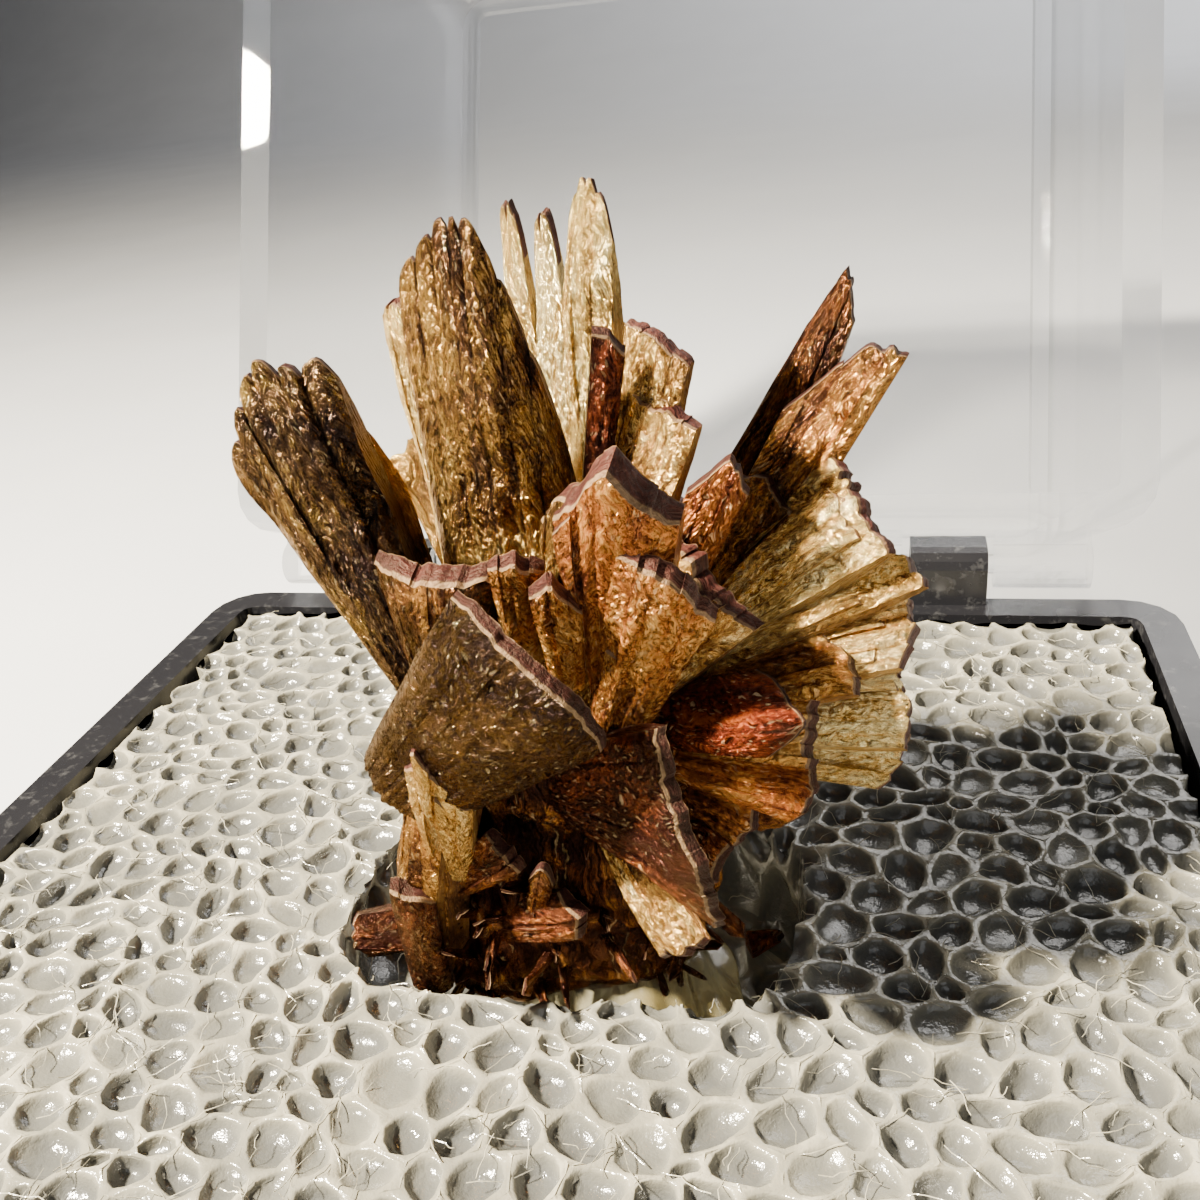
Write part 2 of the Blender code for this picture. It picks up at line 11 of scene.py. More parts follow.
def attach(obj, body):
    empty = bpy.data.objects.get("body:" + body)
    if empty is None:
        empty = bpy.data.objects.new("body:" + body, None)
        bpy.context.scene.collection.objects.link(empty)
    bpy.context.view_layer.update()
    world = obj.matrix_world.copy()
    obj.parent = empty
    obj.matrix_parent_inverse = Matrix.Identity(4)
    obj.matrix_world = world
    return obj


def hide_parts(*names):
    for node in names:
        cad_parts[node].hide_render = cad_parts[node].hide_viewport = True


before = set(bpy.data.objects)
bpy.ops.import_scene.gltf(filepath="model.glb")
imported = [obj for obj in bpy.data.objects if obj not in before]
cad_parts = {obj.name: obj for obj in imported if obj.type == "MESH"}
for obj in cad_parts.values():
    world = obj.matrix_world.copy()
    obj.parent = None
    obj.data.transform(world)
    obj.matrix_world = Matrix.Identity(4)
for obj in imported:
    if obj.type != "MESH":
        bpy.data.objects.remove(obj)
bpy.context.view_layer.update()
mm = 0.001
tray = {"rim": 8.5, "side": 31.75, "wall": 1.1, "gap": 0.3}
print("frame loaded")


def inScene(name, data):
    item = bpy.data.objects.new(name, data)
    bpy.context.scene.collection.objects.link(item)
    return item


# Camera at the photograph's place and angle
camera = {"place": (7.214, -17.848, 26.248), "yaw": -15.303, "pitch": 27.157, "roll": -6.573, "lens": 34.65}


def makeCamera(settings):
    yaw, pitch, roll = (math.radians(settings[key]) for key in ("yaw", "pitch", "roll"))
    forward = Vector((math.sin(yaw) * math.cos(pitch), math.cos(yaw) * math.cos(pitch), -math.sin(pitch)))
    right = Vector((math.cos(yaw), -math.sin(yaw), 0.0))
    up = right.cross(forward)
    turn = Matrix.Rotation(roll, 3, -forward)
    right, up = turn @ right, turn @ up
    data = bpy.data.cameras.new("photoCamera")
    data.sensor_width = 36.0
    data.lens = settings["lens"]
    data.clip_start = 0.001
    data.clip_end = 10.0
    holder = inScene("photoCamera", data)
    columns = Matrix((right, up, -forward)).transposed().to_4x4()
    holder.matrix_world = Matrix.Translation(Vector(settings["place"]) * mm) @ columns
    bpy.context.scene.camera = holder


makeCamera(camera)


# Node helpers, used by the materials and by the geometry trees
def feed(tree, node, name, value):
    if isinstance(value, bpy.types.NodeSocket):
        tree.links.new(value, node.inputs[name])
    else:
        node.inputs[name].default_value = value


def put(tree, kind, inputs=None, **settings):
    node = tree.nodes.new(kind)
    for key, value in settings.items():
        setattr(node, key, value)
    for key, value in (inputs or {}).items():
        feed(tree, node, key, value)
    return node


def calc(tree, operation, *values):
    return put(tree, "ShaderNodeMath", dict(enumerate(values)), operation=operation).outputs[0]


def blendColours(tree, share, first, second):
    return put(tree, "ShaderNodeMix", {0: share, 6: first, 7: second}, data_type="RGBA").outputs[2]


def ramp(tree, value, stops):
    node = put(tree, "ShaderNodeValToRGB", {0: value})
    band = node.color_ramp
    while len(band.elements) < len(stops):
        band.elements.new(0.5)
    for element, (place, colour) in zip(band.elements, stops):
        element.position = place
        element.color = (*colour, 1.0)
    return node.outputs[0]


def noiseOf(tree, vector, scale, detail=3.0, roughness=0.55):
    values = {"Vector": vector, "Scale": scale, "Detail": detail, "Roughness": roughness}
    return put(tree, "ShaderNodeTexNoise", values).outputs[0]


def stretched(tree, vector, scale):
    return put(tree, "ShaderNodeMapping", {"Vector": vector, "Scale": scale}).outputs[0]


def newMaterial(name):
    material = bpy.data.materials.new(name)
    material.use_nodes = True
    tree = material.node_tree
    return material, tree, tree.nodes["Principled BSDF"], put(tree, "ShaderNodeTexCoord").outputs["Object"]


def roughen(tree, shader, height, strength, distance):
    values = {"Height": height, "Strength": strength, "Distance": distance}
    feed(tree, shader, "Normal", put(tree, "ShaderNodeBump", values).outputs[0])


def vectorMath(tree, operation, *values):
    return put(tree, "ShaderNodeVectorMath", dict(enumerate(values)), operation=operation).outputs[0]


# Crystal finish. The fibre map runs across and along each blade, in millimetres.
# Look holds tone (dark to pale gold), warmth (olive to red) and edge (1 along the borders of a blade's end,
# where a pale gold highlight is painted).
goldStops = (
    (0.05, (0.016, 0.007, 0.006)), (0.26, (0.105, 0.045, 0.018)), (0.48, (0.36, 0.185, 0.045)),
    (0.7, (0.66, 0.43, 0.13)), (0.95, (0.90, 0.76, 0.38)),
)
oliveStops = (
    (0.05, (0.014, 0.010, 0.009)), (0.26, (0.075, 0.048, 0.022)), (0.48, (0.25, 0.175, 0.045)),
    (0.7, (0.54, 0.42, 0.14)), (0.95, (0.86, 0.77, 0.40)),
)
redStops = (
    (0.05, (0.030, 0.004, 0.002)), (0.26, (0.160, 0.024, 0.008)), (0.48, (0.42, 0.095, 0.016)),
    (0.7, (0.66, 0.27, 0.05)), (0.95, (0.88, 0.58, 0.22)),
)
mauveStops = ((0.15, (0.010, 0.003, 0.003)), (0.5, (0.036, 0.010, 0.009)), (0.9, (0.11, 0.036, 0.026)))


# Noise scales are per millimetre across and along the fibres, or per metre in space.
finish = {
    "drift": 1500.0, "driftShare": 0.5, "streaks": (5.0, 0.45, 1.0), "fine": (28.0, 2.6, 1.0),
    "beads": (12.0, 6.0, 1.0), "lines": (16.0, 5.0, 1.0), "facets": (32.0, 10.0, 1.0), "patches": 700.0,
    "grains": 9000.0, "toneShift": -0.04, "streakShare": 0.75, "fineShare": 0.42, "patchShare": 0.8,
    "grainShare": 0.45, "beadShare": -0.2, "edgeHighlightPower": 8.0, "edgeHighlightShare": 0.4,
    "edgeHighlightColour": (0.78, 0.52, 0.26, 1.0), "glintChance": 0.95, "glintShare": 0.2,
    "glintColour": (0.95, 0.74, 0.40, 1.0), "metal": (0.06, 0.85), "redMetal": -0.45,
    "roughness": (0.08, 0.24), "endRoughness": 0.3, "glintRoughness": -0.25, "facetSpread": (0.06, 0.85),
    "bump": 0.00013,
}


def centred(tree, value, amount, base):
    return calc(tree, "MULTIPLY_ADD", calc(tree, "SUBTRACT", value, 0.5), amount, base)


def voronoiOf(tree, vector, scale, output):
    cells = put(tree, "ShaderNodeTexVoronoi", {"Vector": stretched(tree, vector, scale), "Scale": 1.0})
    return cells.outputs[output]


def stretchedNoise(tree, vector, scale, detail, roughness):
    return noiseOf(tree, stretched(tree, vector, scale), 1.0, detail, roughness)


def scaled(tree, vector, share):
    return put(tree, "ShaderNodeVectorMath", {0: vector, "Scale": share}, operation="SCALE").outputs[0]


def makeGoethite(finish):
    material, tree, shader, place = newMaterial("goethite")
    fibre = put(tree, "ShaderNodeUVMap", uv_map="fibre").outputs[0]
    look = put(tree, "ShaderNodeAttribute", attribute_name="look").outputs["Vector"]
    tone, warmth, edge = put(tree, "ShaderNodeSeparateXYZ", {0: look}).outputs
    ends = put(tree, "ShaderNodeAttribute", attribute_name="endFace").outputs["Fac"]
    notEnds = calc(tree, "SUBTRACT", 1.0, ends)
    drift = noiseOf(tree, place, finish["drift"], 2.0)
    wave = put(tree, "ShaderNodeCombineXYZ", {0: centred(tree, drift, finish["driftShare"], 0.0)}).outputs[0]
    fibre = vectorMath(tree, "ADD", fibre, wave)
    streaks = stretchedNoise(tree, fibre, finish["streaks"], 4.0, 0.62)
    fine = stretchedNoise(tree, fibre, finish["fine"], 4.0, 0.7)
    lines = stretchedNoise(tree, fibre, finish["lines"], 3.0, 0.6)
    beads = voronoiOf(tree, fibre, finish["beads"], "Distance")
    patches = noiseOf(tree, place, finish["patches"], 3.0, 0.6)
    grains = noiseOf(tree, place, finish["grains"], 3.0, 0.75)

    level = calc(tree, "ADD", tone, finish["toneShift"])
    for pattern, share in ((streaks, "streakShare"), (fine, "fineShare"), (patches, "patchShare"),
                           (grains, "grainShare"), (beads, "beadShare")):
        level = centred(tree, pattern, finish[share], level)
    oliveShare = put(tree, "ShaderNodeClamp", {0: calc(tree, "MULTIPLY", warmth, -1.0)}).outputs[0]
    redShare = centred(tree, patches, finish["patchShare"], warmth)
    redShare = put(tree, "ShaderNodeClamp", {0: redShare}).outputs[0]
    body = blendColours(tree, oliveShare, ramp(tree, level, goldStops), ramp(tree, level, oliveStops))
    body = blendColours(tree, redShare, body, ramp(tree, level, redStops))
    mauve = ramp(tree, centred(tree, patches, 0.6, centred(tree, tone, 0.4, lines)), mauveStops)
    colour = blendColours(tree, ends, body, mauve)
    # Painted highlight: a pale gold line along the borders of each blade's end, flecked by the grains.
    rim = calc(tree, "POWER", edge, finish["edgeHighlightPower"])
    rim = calc(tree, "MULTIPLY", rim, calc(tree, "MULTIPLY", grains, finish["edgeHighlightShare"]))
    colour = blendColours(tree, rim, colour, finish["edgeHighlightColour"])

    facets = voronoiOf(tree, fibre, finish["facets"], "Color")
    chance = put(tree, "ShaderNodeSeparateXYZ", {0: facets}).outputs[0]
    glint = calc(tree, "GREATER_THAN", chance, finish["glintChance"])
    glint = calc(tree, "MULTIPLY", glint, calc(tree, "MULTIPLY", notEnds, finish["glintShare"]))
    feed(tree, shader, "Base Color", blendColours(tree, glint, colour, finish["glintColour"]))
    base, share = finish["metal"]
    metal = calc(tree, "MULTIPLY_ADD", notEnds, share, base)
    dulled = calc(tree, "MULTIPLY_ADD", redShare, finish["redMetal"], 1.0)
    feed(tree, shader, "Metallic", calc(tree, "MULTIPLY", metal, dulled))
    base, share = finish["roughness"]
    rough = calc(tree, "MULTIPLY_ADD", grains, share, base)
    rough = calc(tree, "MULTIPLY_ADD", ends, finish["endRoughness"], rough)
    feed(tree, shader, "Roughness", calc(tree, "MULTIPLY_ADD", glint, finish["glintRoughness"], rough))
    feed(tree, shader, "IOR", 1.8)
    feed(tree, shader, "Specular IOR Level", 0.12)
    feed(tree, shader, "Specular Tint", (1.0, 0.72, 0.45, 1.0))
    feed(tree, shader, "Anisotropic", 0.5)
    fibreWay = put(tree, "ShaderNodeTangent", direction_type="UV_MAP", uv_map="fibre").outputs[0]
    feed(tree, shader, "Tangent", fibreWay)

    height = calc(tree, "MULTIPLY_ADD", fine, 0.6, calc(tree, "MULTIPLY", grains, 0.4))
    height = calc(tree, "MULTIPLY_ADD", streaks, 0.6, height)
    height = calc(tree, "MULTIPLY_ADD", beads, -0.5, height)
    height = calc(tree, "MULTIPLY", height, notEnds)
    height = calc(tree, "MULTIPLY_ADD", calc(tree, "MULTIPLY", lines, 0.5), ends, height)
    bump = put(tree, "ShaderNodeBump", {"Height": height, "Strength": 1.0, "Distance": finish["bump"]})
    tilt = vectorMath(tree, "SUBTRACT", facets, (0.5, 0.5, 0.5))
    base, share = finish["facetSpread"]
    tilt = scaled(tree, tilt, calc(tree, "MULTIPLY_ADD", notEnds, share, base))
    turned = vectorMath(tree, "ADD", bump.outputs[0], tilt)
    feed(tree, shader, "Normal", vectorMath(tree, "NORMALIZE", turned))
    return material


goethite = makeGoethite(finish)


# Blade shape, shared by every crystal
bladeForm = {
    "columnStep": 0.055, "rowStep": 0.1, "edgeThinning": 0.4, "ragged": 0.02, "step": 0.016, "tilt": 0.016,
    "arch": (0.006, 0.035), "swell": 0.06, "swellPitch": (1.3, 1.3), "flute": 0.03, "flutePitch": (0.2, 2.4),
    "ridge": 0.014, "ridgePitch": (0.09, 0.7), "grain": 0.006, "breakShare": 0.2, "breakDepth": (0.03, 0.09),
    "endRows": 4, "endRipple": 0.02, "tear": 0.045, "tearPitch": 0.45, "tearStep": 0.045, "stepPitch": 0.14,
    "calm": 0.8, "blunt": 0.45, "curl": 0.16, "band": 0.1, "grooveShade": 0.09, "sideEnd": 0.35,
    "plateSpan": (0.1, 0.4), "plateReach": (0.4, 0.97), "plateLift": (0.02, 0.13), "plateDepth": 0.12,
    "plateBand": (0.0, 0.12), "plateTwist": (-0.3, 0.3), "plateTone": (-0.1, 0.16), "plateFront": 0.7,
    "toneDrift": 0.04,
}


# Random field on a grid, smooth between coarse cells
def softField(draw, rows, columns, cellRows, cellColumns):
    cellRows, cellColumns = max(1, int(cellRows)), max(1, int(cellColumns))
    coarse = draw.normal(0.0, 1.0, (cellRows + 1, cellColumns + 1))
    for axis, count, cells in ((0, rows, cellRows), (1, columns, cellColumns)):
        where = np.linspace(0.0, cells, count)
        low = np.minimum(where.astype(int), cells - 1)
        share = where - low
        share = share * share * (3.0 - 2.0 * share)
        coarse = np.moveaxis(coarse, axis, -1)
        coarse = coarse[..., low] * (1.0 - share) + coarse[..., low + 1] * share
        coarse = np.moveaxis(coarse, -1, axis)
    return coarse


# Laths side by side from low to high across the blade. Each column of points knows where it lies
# across the blade (q), where it lies across its own lath (t) and which lath that is (k).
def lathColumns(draw, laths, low, high, width):
    steps = np.concatenate(([0.0], np.cumsum(draw.uniform(0.6, 1.4, laths))))
    bounds = low + (high - low) * steps / steps[-1]
    q, t, k = [], [], []
    for lath in range(laths):
        breadth = bounds[lath + 1] - bounds[lath]
        count = max(4, round(breadth * width / 2.0 / bladeForm["columnStep"]))
        local = np.linspace(-0.97, 0.97, count)
        q.append((bounds[lath] + bounds[lath + 1]) / 2.0 + local * breadth / 2.0)
        t.append(local)
        k.append(np.full(count, lath))
    return np.concatenate(q), np.concatenate(t), np.concatenate(k)


# How far the end of each column falls back, as a share of the blade's length
def endFall(blade, draw, q, t, k, breadth, length):
    form, laths = bladeForm, k[-1] + 1
    leftFall, rightFall, sharpness = blade["end"]
    fall = np.where(q < 0, leftFall, rightFall) * np.abs(q) ** sharpness
    fall = fall + draw.uniform(0.0, blade.get("ragged", form["ragged"]), laths)[k]
    fall = fall + blade.get("lobes", 0.0) * np.abs(t) ** 3.5
    tear = softField(draw, 1, len(q), 1, breadth / form["tearPitch"])[0]
    notches = np.round(1.6 * softField(draw, 1, len(q), 1, breadth / form["stepPitch"])[0]) / 1.6
    return fall + (form["tear"] * tear + form["tearStep"] * notches) / length * blade.get("tear", 1.0)


# Height of one face: each lath has its step, tilt and arch, and some laths break off part of the way
def relief(blade, draw, q, t, k, s, reach, span, breadth):
    form, laths, rows = bladeForm, k[-1] + 1, len(s)
    grow = 0.35 + 0.65 * s * reach
    surface = draw.normal(0.0, form["step"], laths)[k] * grow
    surface = surface + draw.normal(0.0, form["tilt"], laths)[k] * t * grow
    surface = surface + draw.uniform(*form["arch"], laths)[k] * (1.0 - np.abs(t) ** 2.5)
    for size, pitch in (("swell", "swellPitch"), ("ridge", "ridgePitch"), ("flute", "flutePitch")):
        pitchAcross, pitchAlong = form[pitch]
        field = softField(draw, rows, len(q), span / pitchAlong, breadth / pitchAcross)
        surface = surface + form[size] * field
    broken = draw.uniform(0.0, 1.0, laths)[k] < form["breakShare"]
    where = draw.uniform(0.3, 0.95, laths)[k] + draw.normal(0.0, 0.05, laths)[k] * t
    where = where + 0.02 * softField(draw, 1, len(q), 1, breadth / form["flutePitch"][0])[0]
    drop = draw.uniform(*form["breakDepth"], laths)[k] * broken
    surface = surface - drop * np.clip((s - where) * rows / 1.5, 0.0, 1.0)
    settle = 1.0 - blade.get("calm", form["calm"]) * np.clip((s - 0.6) / 0.4, 0.0, 1.0) ** 2
    return surface * settle + draw.normal(0.0, form["grain"], (rows, len(q)))


# Faces of a slab whose rows run up its front, over its end and down its back. An end face has
# value 1, and the flat sides and foot have sideEnd.
def slabFaces(total, count, rows, endRows):
    index = np.arange(total * count).reshape(total, count)
    quads = np.stack((index[:-1, :-1], index[:-1, 1:], index[1:, 1:], index[1:, :-1]), axis=-1).reshape(-1, 4)
    ends = np.zeros((total - 1, count - 1))
    ends[rows - 1:rows + endRows] = 1.0
    sides = []
    for column in (0, count - 1):
        up, down = index[:, column], index[::-1, column]
        strip = [(up[r], up[r + 1], down[r + 1], down[r]) for r in range(rows - 1)]
        strip.append(tuple(up[rows - 1:total - rows + 1]))
        sides += [face[::-1] for face in strip] if column else strip
    sides.append(tuple(index[0])[::-1] + tuple(index[-1]))
    faces = [tuple(face) for face in quads.tolist()] + [tuple(int(i) for i in face) for face in sides]
    return faces, np.concatenate((ends.reshape(-1), np.full(len(sides), bladeForm["sideEnd"])))


# One slab of parallel laths. It covers part of a blade, from low to high across it,
# and is the whole blade or a thin plate that lies on its front or back.
def slab(blade, draw, low=-1.0, high=1.0, reach=1.0, lift=0.0, depth=None, side=1.0, tone=0.0, band=None,
         twist=0.0):
    form = bladeForm
    root, tip = Vector(blade["root"]), Vector(blade["tip"])
    length = (tip - root).length
    along = (tip - root) / length
    across = along.cross(Vector(blade["facing"])).normalized()
    normal = across.cross(along)
    root, along, across, normal = (np.array(v) for v in (root, along, across, normal))
    widths, thicknesses = blade["widths"], blade["thicknesses"]
    laths = max(1, round(blade["laths"] * (high - low) / 2.0))
    q, t, k = lathColumns(draw, laths, low, high, max(widths))
    rows, endRows = max(10, round(length * reach / form["rowStep"])), form["endRows"]
    s = np.linspace(0.0, 1.0, rows)[:, None]
    full = s * reach
    breadth, span = (high - low) * max(widths) / 2.0, length * reach
    fall = endFall(blade, draw, q, t, k, breadth, length)
    halfWidth = 0.5 * (widths[0] + (widths[1] - widths[0]) * full)
    halfThick = 0.5 * (thicknesses[0] + (thicknesses[1] - thicknesses[0]) * full)
    lens = halfThick * (1.0 - form["edgeThinning"] * np.abs(q) ** 3)
    lens = lens * (1.0 - blade.get("blunt", form["blunt"]) * s ** 7)

    amount = blade.get("relief", 1.0)
    if depth is None:
        front = lens + amount * relief(blade, draw, q, t, k, s, reach, span, breadth)
        back = -lens - 0.8 * amount * relief(blade, draw, q, t, k, s, reach, span, breadth)
    else:
        leaning = twist * (q - 0.5 * (low + high)) * halfWidth
        front = lens + lift * (0.35 + 0.65 * full) + leaning
        front = front + 0.7 * relief(blade, draw, q, t, k, s, reach, span, breadth)
        back = lens - depth + np.zeros_like(front)
    bowed = blade["bow"] * length * full ** 2 - blade.get("curl", form["curl"]) * halfWidth * q ** 2

    def points(height, cut):
        spine = root + along * (s * (span * (1.0 - fall) - cut))[..., None]
        return spine + across * (halfWidth * q)[..., None] + normal * (side * height + bowed)[..., None]

    band = blade.get("band", form["band"]) if band is None else band
    frontPoints, backPoints = points(front, band), points(back, 0.0)
    shares = np.linspace(0.0, 1.0, endRows + 2)[1:-1, None, None]
    endPoints = frontPoints[-1] * (1.0 - shares) + backPoints[-1] * shares
    ripple = form["endRipple"] * softField(draw, endRows, len(q), 2, breadth / 0.25)
    endPoints = endPoints + along * (ripple * np.sin(np.pi * shares[..., 0]) + 0.01)[..., None]
    grid = np.concatenate((frontPoints, endPoints, backPoints[::-1]))
    total, count = len(grid), len(q)

    u = np.broadcast_to(q * 0.25 * (widths[0] + widths[1]), (total, count)) + draw.uniform(0.0, 90.0)
    v = np.concatenate((s[:, 0] * span, span + shares[:, 0, 0], span + s[::-1, 0]))
    v = np.broadcast_to(v[:, None], (total, count))
    base = blade["tone"] + tone + draw.normal(0.0, form["toneDrift"], laths)[k]
    height = np.concatenate((s[:, 0], np.ones(endRows), s[::-1, 0]))[:, None]
    # Painted shade: tone is darker at both sides of each lath, in the grooves between laths.
    tones = base - form["grooveShade"] * np.abs(t) ** 5 + blade.get("dusk", 0.0) * height ** 2
    # Edge marks the rows on the borders of the end, where the material paints a highlight.
    edge = np.zeros((total, count))
    edge[rows - 1:rows + 1] = 1.0
    edge[rows + endRows] = 1.0
    faces, endFace = slabFaces(total, count, rows, endRows)
    if side < 0:
        faces = [face[::-1] for face in faces]
    look = np.stack((tones, np.full((total, count), blade["warmth"]), edge), axis=-1).reshape(-1, 3)
    return {
        "points": grid.reshape(-1, 3), "faces": faces, "look": look, "endFace": endFace,
        "fibre": np.stack((u, v), axis=-1).reshape(-1, 2),
    }


def bladeParts(blade, seed):
    draw = np.random.default_rng(seed)
    form = bladeForm
    parts = [slab(blade, draw)]
    for _ in range(3 * blade.get("plates", 0)):
        middle = draw.uniform(-0.8, 0.8)
        span = draw.uniform(*form["plateSpan"])
        reach, lift = draw.uniform(*form["plateReach"]), draw.uniform(*form["plateLift"])
        side = 1.0 if draw.uniform() < form["plateFront"] else -1.0
        tone, band, twist = (draw.uniform(*form[key]) for key in ("plateTone", "plateBand", "plateTwist"))
        parts.append(slab(blade, draw, max(-0.97, middle - span), min(0.97, middle + span), reach, lift,
                          form["plateDepth"], side, tone, band, twist))
    return parts


def meshFromParts(name, parts, material):
    points = np.concatenate([part["points"] for part in parts])
    starts = np.cumsum([0] + [len(part["points"]) for part in parts[:-1]])
    faces = [tuple(i + int(start) for i in face) for start, part in zip(starts, parts)
             for face in part["faces"]]
    mesh = bpy.data.meshes.new(name)
    mesh.from_pydata(((points + (0.0, 0.0, tray["rim"])) * mm).tolist(), [], faces)
    mesh.materials.append(material)
    looks = np.concatenate([part["look"] for part in parts]).astype(np.float32)
    mesh.attributes.new("look", "FLOAT_VECTOR", "POINT").data.foreach_set("vector", looks.ravel())
    ends = np.concatenate([part["endFace"] for part in parts]).astype(np.float32)
    mesh.attributes.new("endFace", "FLOAT", "FACE").data.foreach_set("value", ends)
    corners = np.zeros(len(mesh.loops), np.int32)
    mesh.loops.foreach_get("vertex_index", corners)
    fibre = np.concatenate([part["fibre"] for part in parts])[corners]
    mesh.uv_layers.new(name="fibre").data.foreach_set("uv", fibre.astype(np.float32).ravel())
    mesh.shade_smooth()
    mesh.set_sharp_from_angle(angle=math.radians(38.0))
    return inScene(name, mesh)


def triangleCount(piece):
    piece.data.calc_loop_triangles()
    return len(piece.data.loop_triangles)


def bladeOf(root, tip, widths, thicknesses, facing, laths, tone, warmth, end=(0.1, 0.1, 1.0), bow=0.0,
            **extra):
    return dict(root=root, tip=tip, widths=widths, thicknesses=thicknesses, facing=facing, laths=laths,
                tone=tone, warmth=warmth, end=end, bow=bow, **extra)


def makeCrystals(name, seed, blades):
    parts = []
    for number, blade in enumerate(blades.values()):
        parts += bladeParts(blade, seed + number)
    piece = meshFromParts(name, parts, goethite)
    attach(piece, "box")
    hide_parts("goethite_cluster")
    print(name, len(blades), "blades,", triangleCount(piece), "triangles")
    return piece


# Crystals. Each blade has its root and tip, its widths and thicknesses at both, the way it faces, its
# laths, its tone and its warmth. End says how far the end falls back at the left, at the right and
# how sharply. Other named values stand in for those of bladeForm on that blade.
tallCrystals = {
    "tallBlade": bladeOf((0.6, 0.4, 6.6), (0.95, -0.6, 15.2), (2.7, 2.5), (1.0, 0.8), (0.02, -0.97, 0.2), 7,
                         0.55, -0.3, end=(0.12, 0.48, 1.7), lobes=0.025, blunt=0.85, band=0.0, calm=0.2,
                         tear=0.8, ragged=0.012, dusk=-0.26, curl=0.3),
    "leftWing": bladeOf((-0.9, -0.6, 6.4), (-3.05, -0.5, 13.0), (1.0, 2.5), (0.9, 1.2), (0.1, -0.97, 0.15),
                        6, 0.24, -0.7, end=(0.2, 0.04, 1.2), bow=0.05, lobes=0.035, blunt=0.8, band=0.0,
                        calm=0.2, dusk=0.05, curl=0.25),
    "leftWingSide": bladeOf((-0.9, 0.1, 6.8), (-2.0, 0.4, 11.8), (0.7, 1.0), (0.6, 0.8), (0.6, -0.75, 0.2),
                            3, 0.35, 0.1, end=(0.1, 0.3, 1.5)),
    "leftRear": bladeOf((-0.7, 1.4, 7.4), (-1.3, 1.7, 13.6), (0.7, 1.0), (0.5, 0.5), (-0.5, -0.75, 0.4), 3,
                        0.82, -0.2, end=(0.05, 0.08, 1.0)),
    "backSpikeLeft": bladeOf((0.9, 2.2, 8.0), (0.6, 3.1, 14.9), (1.2, 0.5), (0.5, 0.35),
                             (-0.35, -0.85, 0.3), 2, 0.75, -0.1, end=(0.08, 0.08, 2.0), lobes=0.06),
    "backSpikeRight": bladeOf((1.4, 2.0, 8.0), (1.3, 2.9, 14.7), (1.6, 0.5), (0.5, 0.35),
                              (-0.3, -0.85, 0.3), 2, 0.85, -0.1, end=(0.1, 0.08, 2.0), lobes=0.06),
    "finger": bladeOf((2.2, 0.9, 8.0), (2.35, 2.0, 15.2), (1.3, 1.15), (0.6, 0.5), (-0.5, -0.7, 0.45), 4,
                      0.78, -0.35, end=(0.1, 0.12, 2.6), lobes=0.02, blunt=0.85, band=0.0, plates=1),
}
makeCrystals("tallCrystals", 100, tallCrystals)

crestCrystals = {
    "crestUpper": bladeOf((2.5, 0.4, 8.0), (3.6, 1.0, 12.9), (0.9, 1.4), (0.6, 0.6), (-0.3, -0.8, 0.5), 4,
                          0.65, 0.0, end=(0.0, 0.1, 1.0), plates=3, band=0.09),
    "crestPrism": bladeOf((2.5, 0.1, 10.6), (2.9, 0.4, 13.0), (0.5, 0.6), (0.4, 0.4), (0.3, -0.9, 0.3), 1,
                          0.2, 0.6, end=(0.0, 0.1, 1.0), band=0.15),
    "crestMiddle": bladeOf((2.5, 0.0, 7.4), (3.7, 0.5, 11.8), (0.8, 1.4), (0.6, 0.7), (-0.3, -0.8, 0.5), 5,
                           0.66, 0.1, end=(0.0, 0.05, 1.0), plates=3, band=0.09),
    "crestLower": bladeOf((2.6, -0.5, 6.4), (4.3, -0.9, 9.6), (1.0, 3.0), (0.7, 0.7), (-0.25, -0.8, 0.5), 8,
                          0.65, 0.3, end=(0.0, 0.1, 1.0), plates=4),
    "prowLeft": bladeOf((2.1, -0.8, 6.8), (2.7, -2.3, 11.4), (1.3, 2.0), (0.8, 0.7), (-0.45, -0.8, 0.4), 4,
                        0.45, -0.3, end=(0.3, 0.0, 1.2), plates=1, band=0.15),
    "prow": bladeOf((2.7, -0.9, 6.6), (3.6, -2.9, 12.2), (1.2, 2.0), (0.9, 1.0), (-0.05, -0.95, 0.2), 5,
                    0.44, 0.55, end=(0.25, 0.16, 1.2), bow=0.05, plates=1, curl=0.35, band=0.14,
                    ragged=0.01),
    "prowLip": bladeOf((2.8, -1.4, 6.6), (4.3, -3.0, 10.4), (1.0, 1.8), (0.5, 0.5), (0.2, -0.9, 0.3), 5,
                       0.55, 0.5, end=(0.0, 0.2, 1.2), plates=1, band=0.16),
    "emberLeft": bladeOf((1.2, -1.2, 7.4), (1.8, -2.7, 10.5), (0.7, 0.9), (0.5, 0.5), (0.2, -0.9, 0.3), 4,
                         0.6, 0.5),
    "emberRight": bladeOf((2.0, -1.4, 7.4), (2.4, -2.9, 10.2), (0.6, 0.8), (0.5, 0.5), (0.2, -0.9, 0.3), 3,
                          0.6, 0.5, end=(0.1, 0.3, 1.0)),
    "hook": bladeOf((3.4, -0.1, 7.6), (4.8, 0.3, 10.9), (0.6, 1.0), (0.5, 0.4), (0.2, -0.9, 0.3), 3, 0.45,
                    0.6, end=(0.2, 0.1, 1.0), bow=0.08),
}
makeCrystals("crestCrystals", 200, crestCrystals)

